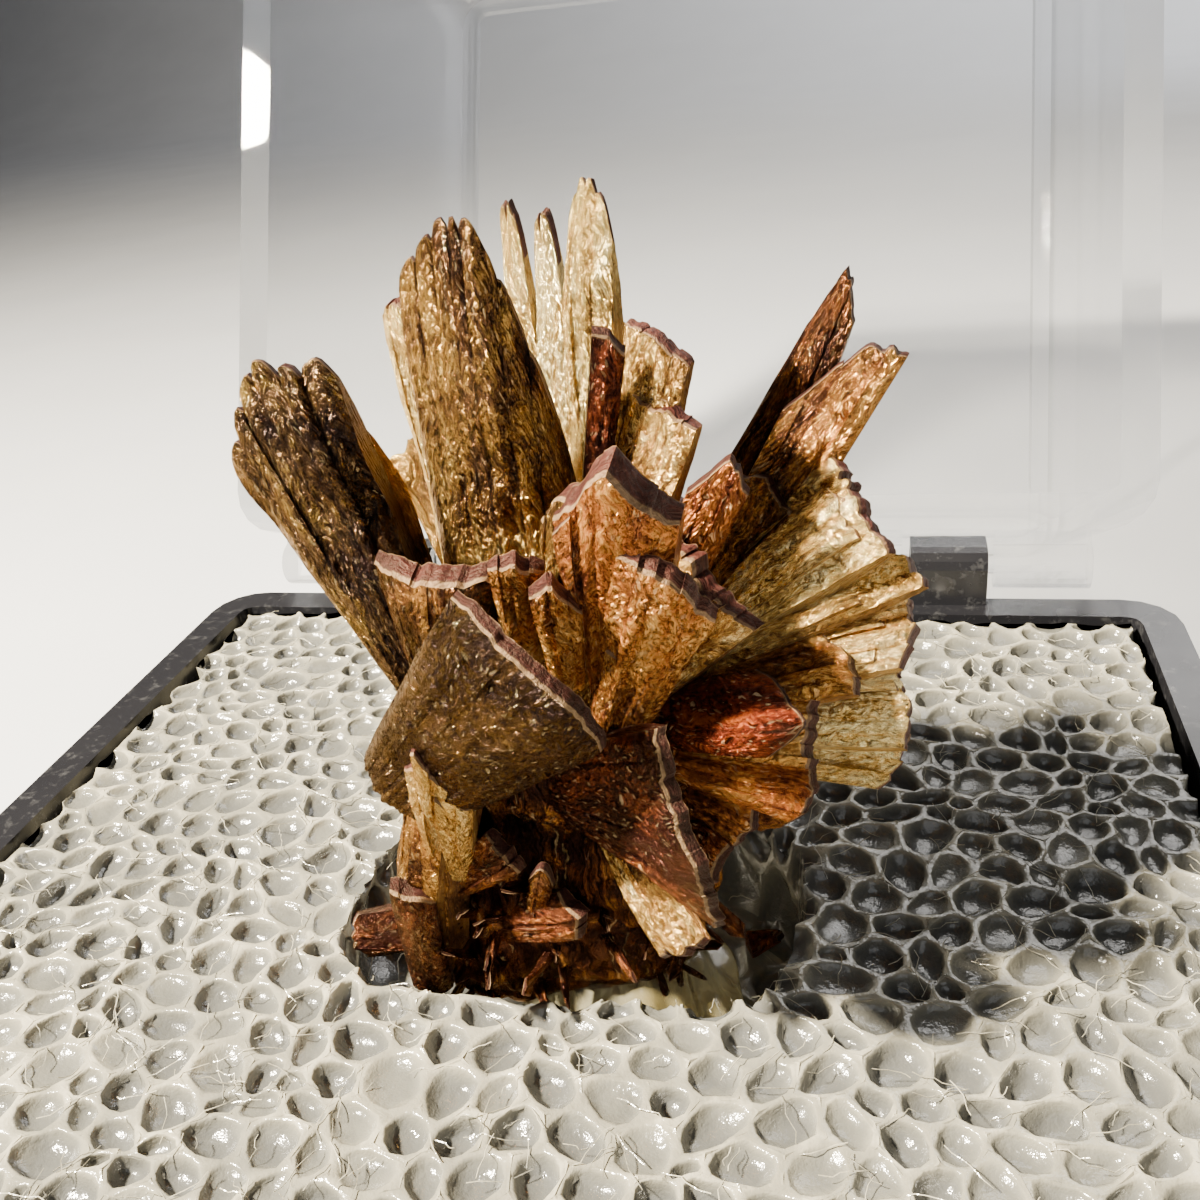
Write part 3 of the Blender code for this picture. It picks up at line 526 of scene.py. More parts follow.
frontCrystals = {
    "collar": bladeOf((-0.4, -0.9, 6.6), (0.2, -2.2, 9.9), (1.2, 2.3), (0.8, 0.8), (0.0, -0.98, 0.1), 6,
                      0.27, 0.1, end=(0.05, 0.0, 1.0), plates=1, curl=0.3, band=0.07, ragged=0.008),
    "shield": bladeOf((-1.4, -1.6, 5.1), (2.3, -4.3, 9.1), (2.0, 3.4), (1.0, 0.7), (0.12, -0.96, 0.2), 7,
                      0.06, -0.6, end=(0.1, 0.2, 2.6), bow=-0.05, blunt=0.65, curl=0.25, band=0.07,
                      ragged=0.006, calm=0.9, tear=0.6),
    "flank": bladeOf((-2.2, -0.7, 0.2), (-0.8, -2.3, 7.4), (1.7, 1.5), (0.9, 1.0), (-0.65, -0.75, 0.1), 6,
                     0.48, 0.15, bow=-0.12, plates=2, curl=0.35),
    "flankTorn": bladeOf((-0.9, -1.3, 3.0), (-0.2, -2.8, 6.6), (0.9, 1.2), (0.6, 0.5), (0.0, -0.95, 0.1), 4,
                         0.74, 0.1, end=(0.0, 0.3, 1.0), plates=2, ragged=0.15, tear=2.0),
    "keel": bladeOf((1.2, -0.8, 4.8), (4.6, -3.3, 5.7), (1.2, 4.2), (0.7, 0.6), (0.1, -0.97, 0.05), 9, 0.14,
                    0.5, end=(0.06, 0.12, 2.0), bow=0.08, plates=1, blunt=0.6, band=0.12, ragged=0.006,
                    calm=0.9, tear=0.7),
    "keelFoot": bladeOf((2.2, -0.8, 4.0), (3.9, -2.5, 2.2), (0.8, 1.1), (0.5, 0.5), (0.1, -0.95, -0.1), 6,
                        0.6, 0.1, end=(0.0, 0.1, 1.0), plates=1),
    "keelRear": bladeOf((2.8, -0.4, 4.6), (4.4, -1.9, 3.4), (0.9, 1.4), (0.4, 0.4), (0.2, -0.95, 0.0), 3,
                        0.35, 0.5),
    "thumb": bladeOf((3.4, -0.6, 6.2), (6.0, -2.2, 7.4), (1.2, 1.5), (0.7, 0.9), (0.1, -0.85, 0.5), 3, 0.28,
                     1.0, end=(0.3, 0.3, 2.0), relief=0.3, ragged=0.01, band=0.0, blunt=0.9, curl=0.3),
    "stepUpper": bladeOf((3.4, -0.5, 5.8), (6.2, -1.0, 6.2), (0.7, 1.2), (0.8, 0.8), (-0.2, -0.75, 0.6), 5,
                         0.6, 0.4, end=(0.0, 0.05, 1.0), plates=1),
    "stepMiddle": bladeOf((3.4, -0.7, 5.4), (6.3, -1.0, 5.0), (0.7, 1.4), (0.7, 0.8), (-0.1, -0.85, 0.4), 5,
                          0.5, 0.7, plates=1),
    "stepLower": bladeOf((3.3, -0.7, 5.0), (5.1, -1.3, 4.2), (0.7, 1.0), (0.5, 0.5), (0.1, -0.9, 0.2), 3,
                         0.4, 0.5),
    "stepRear": bladeOf((3.3, 0.2, 4.8), (5.7, -0.1, 3.6), (0.7, 1.1), (0.5, 0.5), (0.1, -0.9, 0.2), 3, 0.4,
                        0.4),
}
makeCrystals("frontCrystals", 300, frontCrystals)

rightCrystals = {
    "fanTop": bladeOf((3.0, 0.4, 6.2), (7.8, 1.5, 8.4), (0.8, 1.2), (0.7, 0.7), (-0.4, -0.65, 0.65), 4,
                      0.75, 0.1, end=(0.1, 0.0, 1.0), plates=2, band=0.09),
    "fanUpper": bladeOf((3.0, 0.3, 6.0), (8.0, 1.2, 7.2), (0.8, 1.4), (0.7, 0.8), (-0.4, -0.65, 0.65), 5,
                        0.76, 0.2, end=(0.0, 0.1, 1.0), plates=3, band=0.09),
    "fanFront": bladeOf((3.2, 0.0, 6.0), (6.8, 0.4, 6.9), (0.8, 1.3), (0.6, 0.7), (-0.3, -0.7, 0.6), 4, 0.5,
                        0.3, end=(0.1, 0.0, 1.0), plates=1),
    "fanMiddle": bladeOf((3.2, 0.0, 5.6), (7.9, 0.8, 5.7), (0.9, 1.6), (0.7, 0.8), (-0.4, -0.65, 0.65), 6,
                         0.95, 0.1, end=(0.0, 0.05, 1.0), plates=3),
    "fanLower": bladeOf((3.2, -0.1, 5.4), (7.8, 0.5, 4.6), (0.7, 1.1), (0.6, 0.6), (-0.4, -0.7, 0.6), 4,
                        0.95, 0.1, end=(0.0, 0.1, 1.0), plates=2),
    "quill": bladeOf((3.4, 2.0, 6.4), (6.6, 4.5, 13.0), (2.2, 1.1), (0.7, 0.4), (-0.1, -0.9, 0.2), 4, 0.3,
                     0.2, end=(0.45, 0.1, 1.3), plates=1),
    "plume": bladeOf((4.0, 1.6, 7.0), (7.1, 3.4, 12.0), (1.2, 1.5), (0.6, 0.4), (0.1, -0.9, 0.3), 4, 0.45,
                     0.2, end=(0.3, 0.0, 1.0), plates=1),
    "banner": bladeOf((3.2, 0.8, 6.4), (6.9, 2.0, 9.7), (0.9, 2.9), (0.7, 0.7), (-0.45, -0.6, 0.65), 8,
                      0.78, 0.0, end=(0.0, 0.1, 1.0), plates=3),
    "bannerShade": bladeOf((3.2, 1.0, 6.8), (5.3, 2.2, 9.8), (0.9, 1.6), (0.5, 0.5), (-0.3, -0.9, 0.2), 4,
                           0.4, 0.2),
}
makeCrystals("rightCrystals", 400, rightCrystals)

backCrystals = {
    "backCrest": bladeOf((1.6, 0.6, 6.0), (1.8, 4.6, 12.4), (1.4, 2.6), (0.8, 0.7), (0.0, 0.9, 0.3), 6,
                         0.55, 0.0, end=(0.1, 0.2, 1.2), plates=1, band=0.2),
    "backLeft": bladeOf((0.8, 0.6, 5.6), (-1.8, 3.9, 10.6), (1.2, 2.4), (0.8, 0.7), (-0.4, 0.85, 0.3), 6,
                        0.5, -0.3, plates=1, band=0.25),
    "backMiddle": bladeOf((1.6, 0.8, 5.2), (1.6, 5.4, 8.6), (1.4, 3.2), (0.7, 0.7), (0.0, 0.7, 0.7), 7, 0.6,
                          0.1, end=(0.1, 0.1, 1.4), plates=1, band=0.3),
    "backRight": bladeOf((2.6, 0.8, 5.4), (5.0, 4.9, 8.4), (1.2, 2.8), (0.7, 0.7), (0.3, 0.7, 0.6), 6, 0.55,
                         0.2, end=(0.1, 0.0, 1.2), plates=1, band=0.3),
    "backLowLeft": bladeOf((0.6, 0.4, 4.6), (-2.6, 3.4, 6.2), (1.2, 2.6), (0.7, 0.7), (-0.4, 0.6, 0.7), 6,
                           0.5, 0.1, end=(0.0, 0.1, 1.2), plates=2, band=0.2),
    "backLowRight": bladeOf((2.8, 0.6, 4.6), (6.0, 3.8, 5.4), (1.1, 2.4), (0.7, 0.7), (0.4, 0.6, 0.7), 5,
                            0.5, 0.3, end=(0.1, 0.0, 1.2), plates=2, band=0.2),
    "backLow": bladeOf((1.6, 0.6, 4.0), (1.8, 4.3, 4.2), (1.4, 3.0), (0.7, 0.6), (0.0, 0.5, 0.85), 6, 0.45,
                       0.2, end=(0.1, 0.1, 1.4), plates=2, band=0.2),
    "leftFan": bladeOf((-0.2, 0.0, 5.2), (-3.0, 1.4, 8.0), (1.2, 2.4), (0.8, 0.7), (-0.7, -0.3, 0.6), 6,
                       0.55, -0.2, end=(0.1, 0.1, 1.2), plates=2, band=0.2),
    "leftLowFan": bladeOf((-0.4, 0.2, 4.0), (-2.8, 1.8, 4.8), (1.2, 2.2), (0.7, 0.6), (-0.5, 0.0, 0.85), 5,
                          0.5, 0.1, end=(0.1, 0.1, 1.2), plates=2, band=0.2),
}
makeCrystals("backCrystals", 500, backCrystals)

footCrystals = {
    "footLeft": bladeOf((-1.4, -0.1, 0.6), (-4.2, -0.6, 0.0), (0.9, 1.0), (0.7, 0.6), (0.0, -0.9, 0.3), 3,
                        0.16, 0.3, plates=1),
    "footPrism": bladeOf((-2.0, -1.1, -0.4), (-1.6, -1.9, 2.9), (0.9, 0.9), (0.8, 0.8), (0.2, -0.95, 0.1),
                         1, 0.16, 0.3, end=(0.0, 0.1, 1.0), relief=0.4),
    "peg": bladeOf((0.5, -1.0, 1.6), (1.3, -2.2, 3.9), (0.4, 0.5), (0.4, 0.3), (0.1, -0.95, 0.1), 2, 0.38,
                   0.2, end=(0.3, 0.3, 2.0)),
    "rib": bladeOf((-1.6, -0.7, 1.8), (0.6, -1.9, 4.0), (0.7, 1.0), (0.5, 0.5), (0.0, -0.95, 0.2), 4, 0.28,
                   0.4, plates=1),
    "ribLow": bladeOf((-1.2, -0.5, 0.8), (1.8, -1.7, 2.3), (0.7, 1.1), (0.5, 0.5), (0.0, -0.95, 0.2), 4,
                      0.26, 0.4, plates=1),
}
makeCrystals("footCrystals", 600, footCrystals)


# Geometry tree helpers
def newTree(name, *numbers, others=()):
    tree = bpy.data.node_groups.new(name, "GeometryNodeTree")
    kinds = [("Geometry", "Geometry"), ("Seed", "Int"), ("Material", "Material"), *others]
    for label, kind in kinds + [(label, "Float") for label in numbers]:
        tree.interface.new_socket(label, in_out="INPUT", socket_type="NodeSocket" + kind)
    tree.interface.new_socket("Geometry", in_out="OUTPUT", socket_type="NodeSocketGeometry")
    return tree, tree.nodes.new("NodeGroupInput").outputs, tree.nodes.new("NodeGroupOutput").inputs


def runTree(tree, source, name, values):
    modifier = source.modifiers.new(name, "NODES")
    modifier.node_group = tree
    for item in tree.interface.items_tree:
        if item.item_type == "SOCKET" and item.in_out == "INPUT" and item.name in values:
            modifier[item.identifier] = values[item.name]
    graph = bpy.context.evaluated_depsgraph_get()
    mesh = bpy.data.meshes.new_from_object(source.evaluated_get(graph))
    mesh.name = name
    source.modifiers.remove(modifier)
    return mesh


def positionOf(tree):
    place = tree.nodes.new("GeometryNodeInputPosition").outputs[0]
    return put(tree, "ShaderNodeSeparateXYZ", {0: place}).outputs


def closeTree(tree, shape, given, result):
    shape = put(tree, "GeometryNodeRealizeInstances", {0: shape}).outputs[0]
    shape = put(tree, "GeometryNodeSetMaterial", {0: shape, "Material": given["Material"]}).outputs[0]
    tree.links.new(shape, result[0])
    return tree


# Root that the blades grow from
rootLumps = {
    "lumps": (
        ((1.4, 0.0, 5.6), (2.0, 1.5, 2.4)), ((3.0, 0.2, 5.6), (1.4, 1.4, 1.9)),
        ((0.2, 0.1, 2.6), (2.2, 1.3, 3.2)), ((2.0, 0.2, 2.6), (2.2, 1.3, 2.8)),
        ((0.9, 0.1, 0.9), (2.9, 1.4, 2.0)), ((-0.5, 0.1, 0.1), (2.0, 1.3, 1.7)),
    ),
    "tone": 0.16, "warmth": 0.3, "rough": 0.12, "seed": 7,
}


def makeRoot(settings):
    draw = np.random.default_rng(settings["seed"])
    parts = []
    for centre, radii in settings["lumps"]:
        bm = bmesh.new()
        bmesh.ops.create_icosphere(bm, subdivisions=5, radius=1.0)
        ball = np.array([vert.co for vert in bm.verts])
        faces = [tuple(vert.index for vert in face.verts) for face in bm.faces]
        bm.free()
        waves = np.zeros(len(ball))
        for n in range(9):
            phase = ball @ draw.normal(0.0, 6.0 + 5.0 * n, 3) + draw.uniform(0.0, 6.0)
            waves += np.sin(phase) / (1.0 + 0.4 * n)
        swell = settings["rough"] * waves / 2.5
        points = ball * np.array(radii) + ball * swell[:, None] + np.array(centre)
        points += draw.normal(0.0, 0.012, points.shape)
        tones = settings["tone"] + 0.12 * waves
        look = np.stack((tones, np.full(len(ball), settings["warmth"]), np.zeros(len(ball))), axis=-1)
        parts.append({"points": points, "faces": faces, "look": look, "endFace": np.zeros(len(faces)),
                      "fibre": ball[:, :2] * 1.6})
    piece = meshFromParts("crystalRoot", parts, goethite)
    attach(piece, "box")
    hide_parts("goethite_cluster")
    print("crystalRoot", triangleCount(piece), "triangles")
    return piece


crystalRoot = makeRoot(rootLumps)


# Broken laths that stand out of the root between the blades, scattered by Geometry Nodes
splinters = {
    "lath": bladeOf((0.0, 0.0, -9.0), (0.1, 0.15, -7.1), (0.26, 0.42), (0.16, 0.1), (0.0, -1.0, 0.0), 2,
                    0.2, 0.3, end=(0.1, 0.2, 1.0), bow=0.05, band=0.04, blunt=0.2),
    "perSquareMm": 0.45, "below": 13.6, "tilt": 0.6, "small": 0.35, "large": 1.0, "seed": 12,
}


def splinterTree():
    tree, given, result = newTree("splinters", "Density", "Below", "Tilt", "Small", "Large",
                                  others=(("Lath", "Object"),))
    height = positionOf(tree)[2]
    spots = put(tree, "GeometryNodeDistributePointsOnFaces", {
        "Mesh": given["Geometry"], "Selection": calc(tree, "LESS_THAN", height, given["Below"]),
        "Density": given["Density"], "Seed": given["Seed"],
    })
    way = put(tree, "FunctionNodeRandomValue", {"Seed": given["Seed"]}, data_type="FLOAT_VECTOR")
    way.inputs[0].default_value = (-1.0, -1.0, -3.0)
    way.inputs[1].default_value = (1.0, 1.0, 3.0)
    way = scaled(tree, way.outputs[0], given["Tilt"])
    way = put(tree, "FunctionNodeEulerToRotation", {0: way}).outputs[0]
    way = put(tree, "FunctionNodeRotateRotation", {0: spots.outputs["Rotation"], 1: way},
              rotation_space="LOCAL")
    size = put(tree, "FunctionNodeRandomValue", {2: given["Small"], 3: given["Large"], "Seed": given["Seed"]})
    lath = put(tree, "GeometryNodeObjectInfo", {"Object": given["Lath"]}).outputs["Geometry"]
    laths = put(tree, "GeometryNodeInstanceOnPoints", {
        "Points": spots.outputs["Points"], "Instance": lath, "Rotation": way.outputs[0],
        "Scale": size.outputs[1],
    }).outputs[0]
    return closeTree(tree, laths, given, result)


def makeSplinters(settings, root):
    lath = meshFromParts("splinterLath", bladeParts(settings["lath"], settings["seed"]), goethite)
    source = inScene("splinterSource", root.data.copy())
    mesh = runTree(splinterTree(), source, "splinters", {
        "Lath": lath, "Density": settings["perSquareMm"] / mm ** 2, "Below": settings["below"] * mm,
        "Tilt": settings["tilt"], "Small": settings["small"], "Large": settings["large"],
        "Seed": settings["seed"], "Material": goethite,
    })
    bpy.data.objects.remove(source)
    bpy.data.objects.remove(lath)
    piece = inScene("splinters", mesh)
    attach(piece, "box")
    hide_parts("goethite_cluster")
    print("splinters", triangleCount(piece), "triangles")


makeSplinters(splinters, crystalRoot)


# Foam pad: open cells on a shaken lattice, folded down into the cut pit. Cups are the cells, struts
# are the bright edges of the walls between them, and strands are fine hairs that lie across them.
foamPad = {
    "cell": 1.02, "jitter": 0.48, "rimScale": 0.92, "depth": 0.32, "ragged": 0.1, "wobble": 0.045, "seed": 4,
    "strut": 0.042, "strutSag": 0.03, "strutDrop": -0.045, "cupDrop": -0.02, "strandsPerSquareMm": 1.5,
    "strand": 0.010, "strandLength": 1.0, "strandTilt": 0.12, "strandSeed": 9, "top": -0.05, "bottom": -7.1,
    "pitDepth": (1.2, 2.8), "pitRamp": (-4.2, -1.2), "wallShare": 1.2, "pitLean": 0.14, "edgeGap": 0.3,
    "pitOutline": (
        (-4.6, 1.5), (-4.45, -0.2), (-4.0, -1.05), (-3.2, -1.5), (-1.6, -1.8), (1.0, -1.5), (3.6, -1.4),
        (4.8, -1.1), (5.2, -0.8), (5.4, 0.2), (5.7, 1.8), (5.5, 3.4), (4.2, 4.5), (1.2, 5.1), (-2.0, 4.8),
        (-4.3, 3.6),
    ),
}


cellSockets = ("Side", "Cell", "Jitter", "Ragged", "Level", "Wobble")


# Polygons of many sizes, the duals of a shaken triangle lattice, with each corner at its own height
def cellSheet(tree, given):
    side, cell, seed = given["Side"], given["Cell"], given["Seed"]
    rowPitch = calc(tree, "MULTIPLY", cell, math.sqrt(0.75))
    countX = calc(tree, "ROUND", calc(tree, "DIVIDE", side, cell))
    countY = calc(tree, "ROUND", calc(tree, "DIVIDE", side, rowPitch))
    sizeX = calc(tree, "MULTIPLY", countX, cell)
    sizeY = calc(tree, "MULTIPLY", countY, rowPitch)
    grid = put(tree, "GeometryNodeMeshGrid", {
        "Size X": sizeX, "Size Y": sizeY, "Vertices X": calc(tree, "ADD", countX, 1.0),
        "Vertices Y": calc(tree, "ADD", countY, 1.0),
    }).outputs[0]
    fromEdge = calc(tree, "MULTIPLY_ADD", sizeY, 0.5, positionOf(tree)[1])
    row = calc(tree, "ROUND", calc(tree, "DIVIDE", fromEdge, rowPitch))
    shift = calc(tree, "MULTIPLY", calc(tree, "MODULO", row, 2.0), calc(tree, "MULTIPLY", cell, 0.5))
    reach = calc(tree, "MULTIPLY", given["Jitter"], cell)
    loose = put(tree, "FunctionNodeRandomValue", {"Seed": seed}, data_type="FLOAT_VECTOR")
    loose.inputs[0].default_value = (-1.0, -1.0, 0.0)
    loose.inputs[1].default_value = (1.0, 1.0, 0.0)
    moved = scaled(tree, loose.outputs[0], reach)
    offset = put(tree, "ShaderNodeCombineXYZ", {0: shift}).outputs[0]
    offset = vectorMath(tree, "ADD", moved, offset)
    grid = put(tree, "GeometryNodeSetPosition", {0: grid, "Offset": offset}).outputs[0]
    grid = put(tree, "GeometryNodeTriangulate", {0: grid}, quad_method="SHORTEST_DIAGONAL").outputs[0]
    cells = put(tree, "GeometryNodeDualMesh", {0: grid}).outputs[0]
    spike = put(tree, "FunctionNodeRandomValue", {2: -1.0, 3: 0.35, "Seed": calc(tree, "ADD", seed, 1.0)})
    height = calc(tree, "MULTIPLY_ADD", spike.outputs[1], given["Ragged"], given["Level"])
    lift = put(tree, "ShaderNodeCombineXYZ", {2: height}).outputs[0]
    return put(tree, "GeometryNodeSetPosition", {0: cells, "Offset": lift}).outputs[0]


def shaken(tree, shape, wobble):
    spot = tree.nodes.new("GeometryNodeInputPosition").outputs[0]
    shake = put(tree, "ShaderNodeTexNoise", {"Vector": spot, "Scale": 2.1, "Detail": 3.0}).outputs[1]
    shake = vectorMath(tree, "SUBTRACT", shake, (0.5, 0.5, 0.5))
    shake = scaled(tree, shake, calc(tree, "MULTIPLY", wobble, 6.0))
    return put(tree, "GeometryNodeSetPosition", {0: shape, "Offset": shake}).outputs[0]


def cupTree():
    tree, given, result = newTree("foamCups", *cellSockets, "Rim Scale", "Depth")
    cells = cellSheet(tree, given)
    otherSeed = calc(tree, "ADD", given["Seed"], 2.0)
    deep = put(tree, "FunctionNodeRandomValue", {2: 0.5, 3: 1.3, "Seed": otherSeed}).outputs[1]
    cells = put(tree, "GeometryNodeStoreNamedAttribute", {0: cells, "Name": "deep", "Value": deep},
                data_type="FLOAT", domain="FACE").outputs[0]
    ownDepth = put(tree, "GeometryNodeInputNamedAttribute", {"Name": "deep"}, data_type="FLOAT").outputs[0]
    drop = calc(tree, "MULTIPLY", ownDepth, given["Depth"])
    top = True
    for share, scale in ((0.0, given["Rim Scale"]), (-0.45, 0.9), (-0.55, 0.6)):
        push = put(tree, "GeometryNodeExtrudeMesh", {
            0: cells, 1: top, "Offset": (0.0, 0.0, 1.0), "Offset Scale": calc(tree, "MULTIPLY", drop, share),
            "Individual": True,
        })
        cells, top = push.outputs["Mesh"], push.outputs["Top"]
        cells = put(tree, "GeometryNodeScaleElements", {0: cells, 1: top, "Scale": scale}).outputs[0]
    cells = put(tree, "GeometryNodeSubdivisionSurface", {0: cells, "Level": 1}).outputs[0]
    return closeTree(tree, shaken(tree, cells, given["Wobble"]), given, result)


def tubesAlong(tree, lines, radius, corners):
    ring = put(tree, "GeometryNodeCurvePrimitiveCircle", {"Resolution": corners, "Radius": radius}).outputs[0]
    tubes = put(tree, "GeometryNodeCurveToMesh", {0: lines, "Profile Curve": ring, "Fill Caps": True})
    return tubes.outputs[0]


def inside(tree, lines, half):
    at = positionOf(tree)
    farX = calc(tree, "GREATER_THAN", calc(tree, "ABSOLUTE", at[0]), half)
    farY = calc(tree, "GREATER_THAN", calc(tree, "ABSOLUTE", at[1]), half)
    return put(tree, "GeometryNodeDeleteGeometry", {0: lines, 1: calc(tree, "MAXIMUM", farX, farY)},
               domain="CURVE").outputs[0]


def strutTree():
    tree, given, result = newTree("foamStruts", *cellSockets, "Half", "Radius", "Sag")
    lines = put(tree, "GeometryNodeMeshToCurve", {0: cellSheet(tree, given)}).outputs[0]
    lines = inside(tree, lines, given["Half"])
    lines = put(tree, "GeometryNodeResampleCurve", {"Curve": lines, "Count": 4}).outputs[0]
    along = tree.nodes.new("GeometryNodeSplineParameter").outputs["Factor"]
    fromMiddle = calc(tree, "ABSOLUTE", calc(tree, "MULTIPLY_ADD", along, 2.0, -1.0))
    sag = calc(tree, "SUBTRACT", calc(tree, "POWER", fromMiddle, 2.0), 1.0)
    sag = calc(tree, "MULTIPLY", sag, given["Sag"])
    sag = put(tree, "ShaderNodeCombineXYZ", {2: sag}).outputs[0]
    lines = put(tree, "GeometryNodeSetPosition", {0: lines, "Offset": sag}).outputs[0]
    lines = shaken(tree, lines, given["Wobble"])
    own = put(tree, "FunctionNodeRandomValue", {2: 0.5, 3: 1.15, "Seed": given["Seed"]}).outputs[1]
    swell = calc(tree, "MULTIPLY_ADD", calc(tree, "POWER", fromMiddle, 3.0), 0.6, own)
    lines = put(tree, "GeometryNodeSetCurveRadius", {0: lines, "Radius": swell}).outputs[0]
    return closeTree(tree, tubesAlong(tree, lines, given["Radius"], 5), given, result)


def strandTree():
    tree, given, result = newTree("foamStrands", "Half", "Density", "Radius", "Length", "Tilt", "Wobble")
    side = calc(tree, "MULTIPLY", given["Half"], 2.0)
    sheet = put(tree, "GeometryNodeMeshGrid", {
        "Size X": side, "Size Y": side, "Vertices X": 2, "Vertices Y": 2,
    })
    spots = put(tree, "GeometryNodeDistributePointsOnFaces", {
        "Mesh": sheet.outputs[0], "Density": given["Density"], "Seed": given["Seed"],
    }).outputs["Points"]
    way = put(tree, "FunctionNodeRandomValue", {"Seed": given["Seed"]}, data_type="FLOAT_VECTOR")
    way.inputs[0].default_value = (-1.0, -1.0, -3.14)
    way.inputs[1].default_value = (1.0, 1.0, 3.14)
    parts = put(tree, "ShaderNodeSeparateXYZ", {0: way.outputs[0]}).outputs
    lean = [calc(tree, "MULTIPLY", part, given["Tilt"]) for part in parts[:2]]
    way = put(tree, "ShaderNodeCombineXYZ", {0: lean[0], 1: lean[1], 2: parts[2]}).outputs[0]
    way = put(tree, "FunctionNodeEulerToRotation", {0: way}).outputs[0]
    otherSeed = calc(tree, "ADD", given["Seed"], 3.0)
    size = put(tree, "FunctionNodeRandomValue", {2: 0.3, 3: 1.2, "Seed": otherSeed})
    line = put(tree, "GeometryNodeCurvePrimitiveLine", {
        "Start": (0.0, 0.0, 0.0), "End": put(tree, "ShaderNodeCombineXYZ", {0: given["Length"]}).outputs[0],
    }).outputs[0]
    lines = put(tree, "GeometryNodeInstanceOnPoints", {
        "Points": spots, "Instance": line, "Rotation": way, "Scale": size.outputs[1],
    }).outputs[0]
    lines = put(tree, "GeometryNodeRealizeInstances", {0: lines}).outputs[0]
    lines = put(tree, "GeometryNodeResampleCurve", {"Curve": lines, "Count": 6}).outputs[0]
    lines = inside(tree, shaken(tree, lines, given["Wobble"]), given["Half"])
    return closeTree(tree, tubesAlong(tree, lines, given["Radius"], 3), given, result)


def pitDistance(points, outline):
    corners = np.array(outline)
    nearest = np.full(len(points), 1e9)
    toward = np.zeros((len(points), 2))
    inside = np.zeros(len(points), bool)
    for start, end in zip(corners, np.roll(corners, -1, axis=0)):
        edge = end - start
        share = np.clip(((points - start) @ edge) / (edge @ edge), 0.0, 1.0)
        foot = start + share[:, None] * edge
        distance = np.linalg.norm(points - foot, axis=1)
        closer = distance < nearest
        nearest[closer] = distance[closer]
        toward[closer] = (points - foot)[closer]
        crosses = (start[1] > points[:, 1]) != (end[1] > points[:, 1])
        level = np.where(edge[1] == 0.0, 1.0, edge[1])
        inside ^= crosses & (points[:, 0] < start[0] + edge[0] * (points[:, 1] - start[1]) / level)
    toward /= np.maximum(np.linalg.norm(toward, axis=1), 1e-9)[:, None]
    return np.where(inside, nearest, -nearest), toward


# The sheet goes down the wall of the pit and along its floor, and the depth below the cut is kept
def foldIntoPit(mesh, settings, half):
    points = np.zeros(len(mesh.vertices) * 3)
    mesh.vertices.foreach_get("co", points)
    points = points.reshape(-1, 3)
    # Sunk is the depth into a cup, which the foam colour turns into painted shade.
    sunk = np.clip(-points[:, 2] / settings["depth"], 0.0, 1.0)
    distance, toward = pitDistance(points[:, :2], settings["pitOutline"])
    wall, lean = settings["wallShare"], settings["pitLean"]
    deepest = distance.max()
    share = np.clip(distance / wall, 0.0, 1.0)
    onFloor = lean * wall + (distance - wall) * (deepest - lean * wall) / (deepest - wall)
    stay = np.where(distance < wall, lean * distance, onFloor)
    inPit = distance > 0.0
    own = points[:, 2].copy()
    tilt = np.where(inPit, np.sin(np.pi * share), 0.0)
    points[:, :2] += toward * (np.where(inPit, stay - distance, 0.0) + tilt * own)[:, None]
    shallow, deep = settings["pitDepth"]
    floor = np.interp(points[:, 0], settings["pitRamp"], (shallow, deep))
    points[:, 2] = own * (1.0 - tilt) - floor * share * inPit + settings["top"]
    points[:, :2] = np.clip(points[:, :2], -half, half)
    mesh.vertices.foreach_set("co", points.ravel())
    mesh.attributes.new("sunk", "FLOAT", "POINT").data.foreach_set("value", sunk.astype(np.float32))


def foamPiece(name, mesh, settings, half, skirted):
    foldIntoPit(mesh, settings, half)
    bm = bmesh.new()
    bm.from_mesh(mesh)
    if skirted:
        bmesh.ops.dissolve_degenerate(bm, dist=1e-4, edges=bm.edges)
        rim = [edge for edge in bm.edges if edge.is_boundary]
        for item in bmesh.ops.extrude_edge_only(bm, edges=rim)["geom"]:
            if isinstance(item, bmesh.types.BMVert):
                item.co.z = settings["bottom"]
        bmesh.ops.contextual_create(bm, geom=[edge for edge in bm.edges if edge.is_boundary])
    bmesh.ops.recalc_face_normals(bm, faces=bm.faces)
    bmesh.ops.translate(bm, vec=Vector((0.0, 0.0, tray["rim"])), verts=bm.verts)
    bmesh.ops.scale(bm, vec=Vector((mm, mm, mm)), verts=bm.verts)
    bm.to_mesh(mesh)
    bm.free()
    mesh.shade_smooth()
    mesh.set_sharp_from_angle(angle=math.radians(60.0))
    piece = inScene(name, mesh)
    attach(piece, "box")
    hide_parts("foam_pad")
    print(name, triangleCount(piece), "triangles")


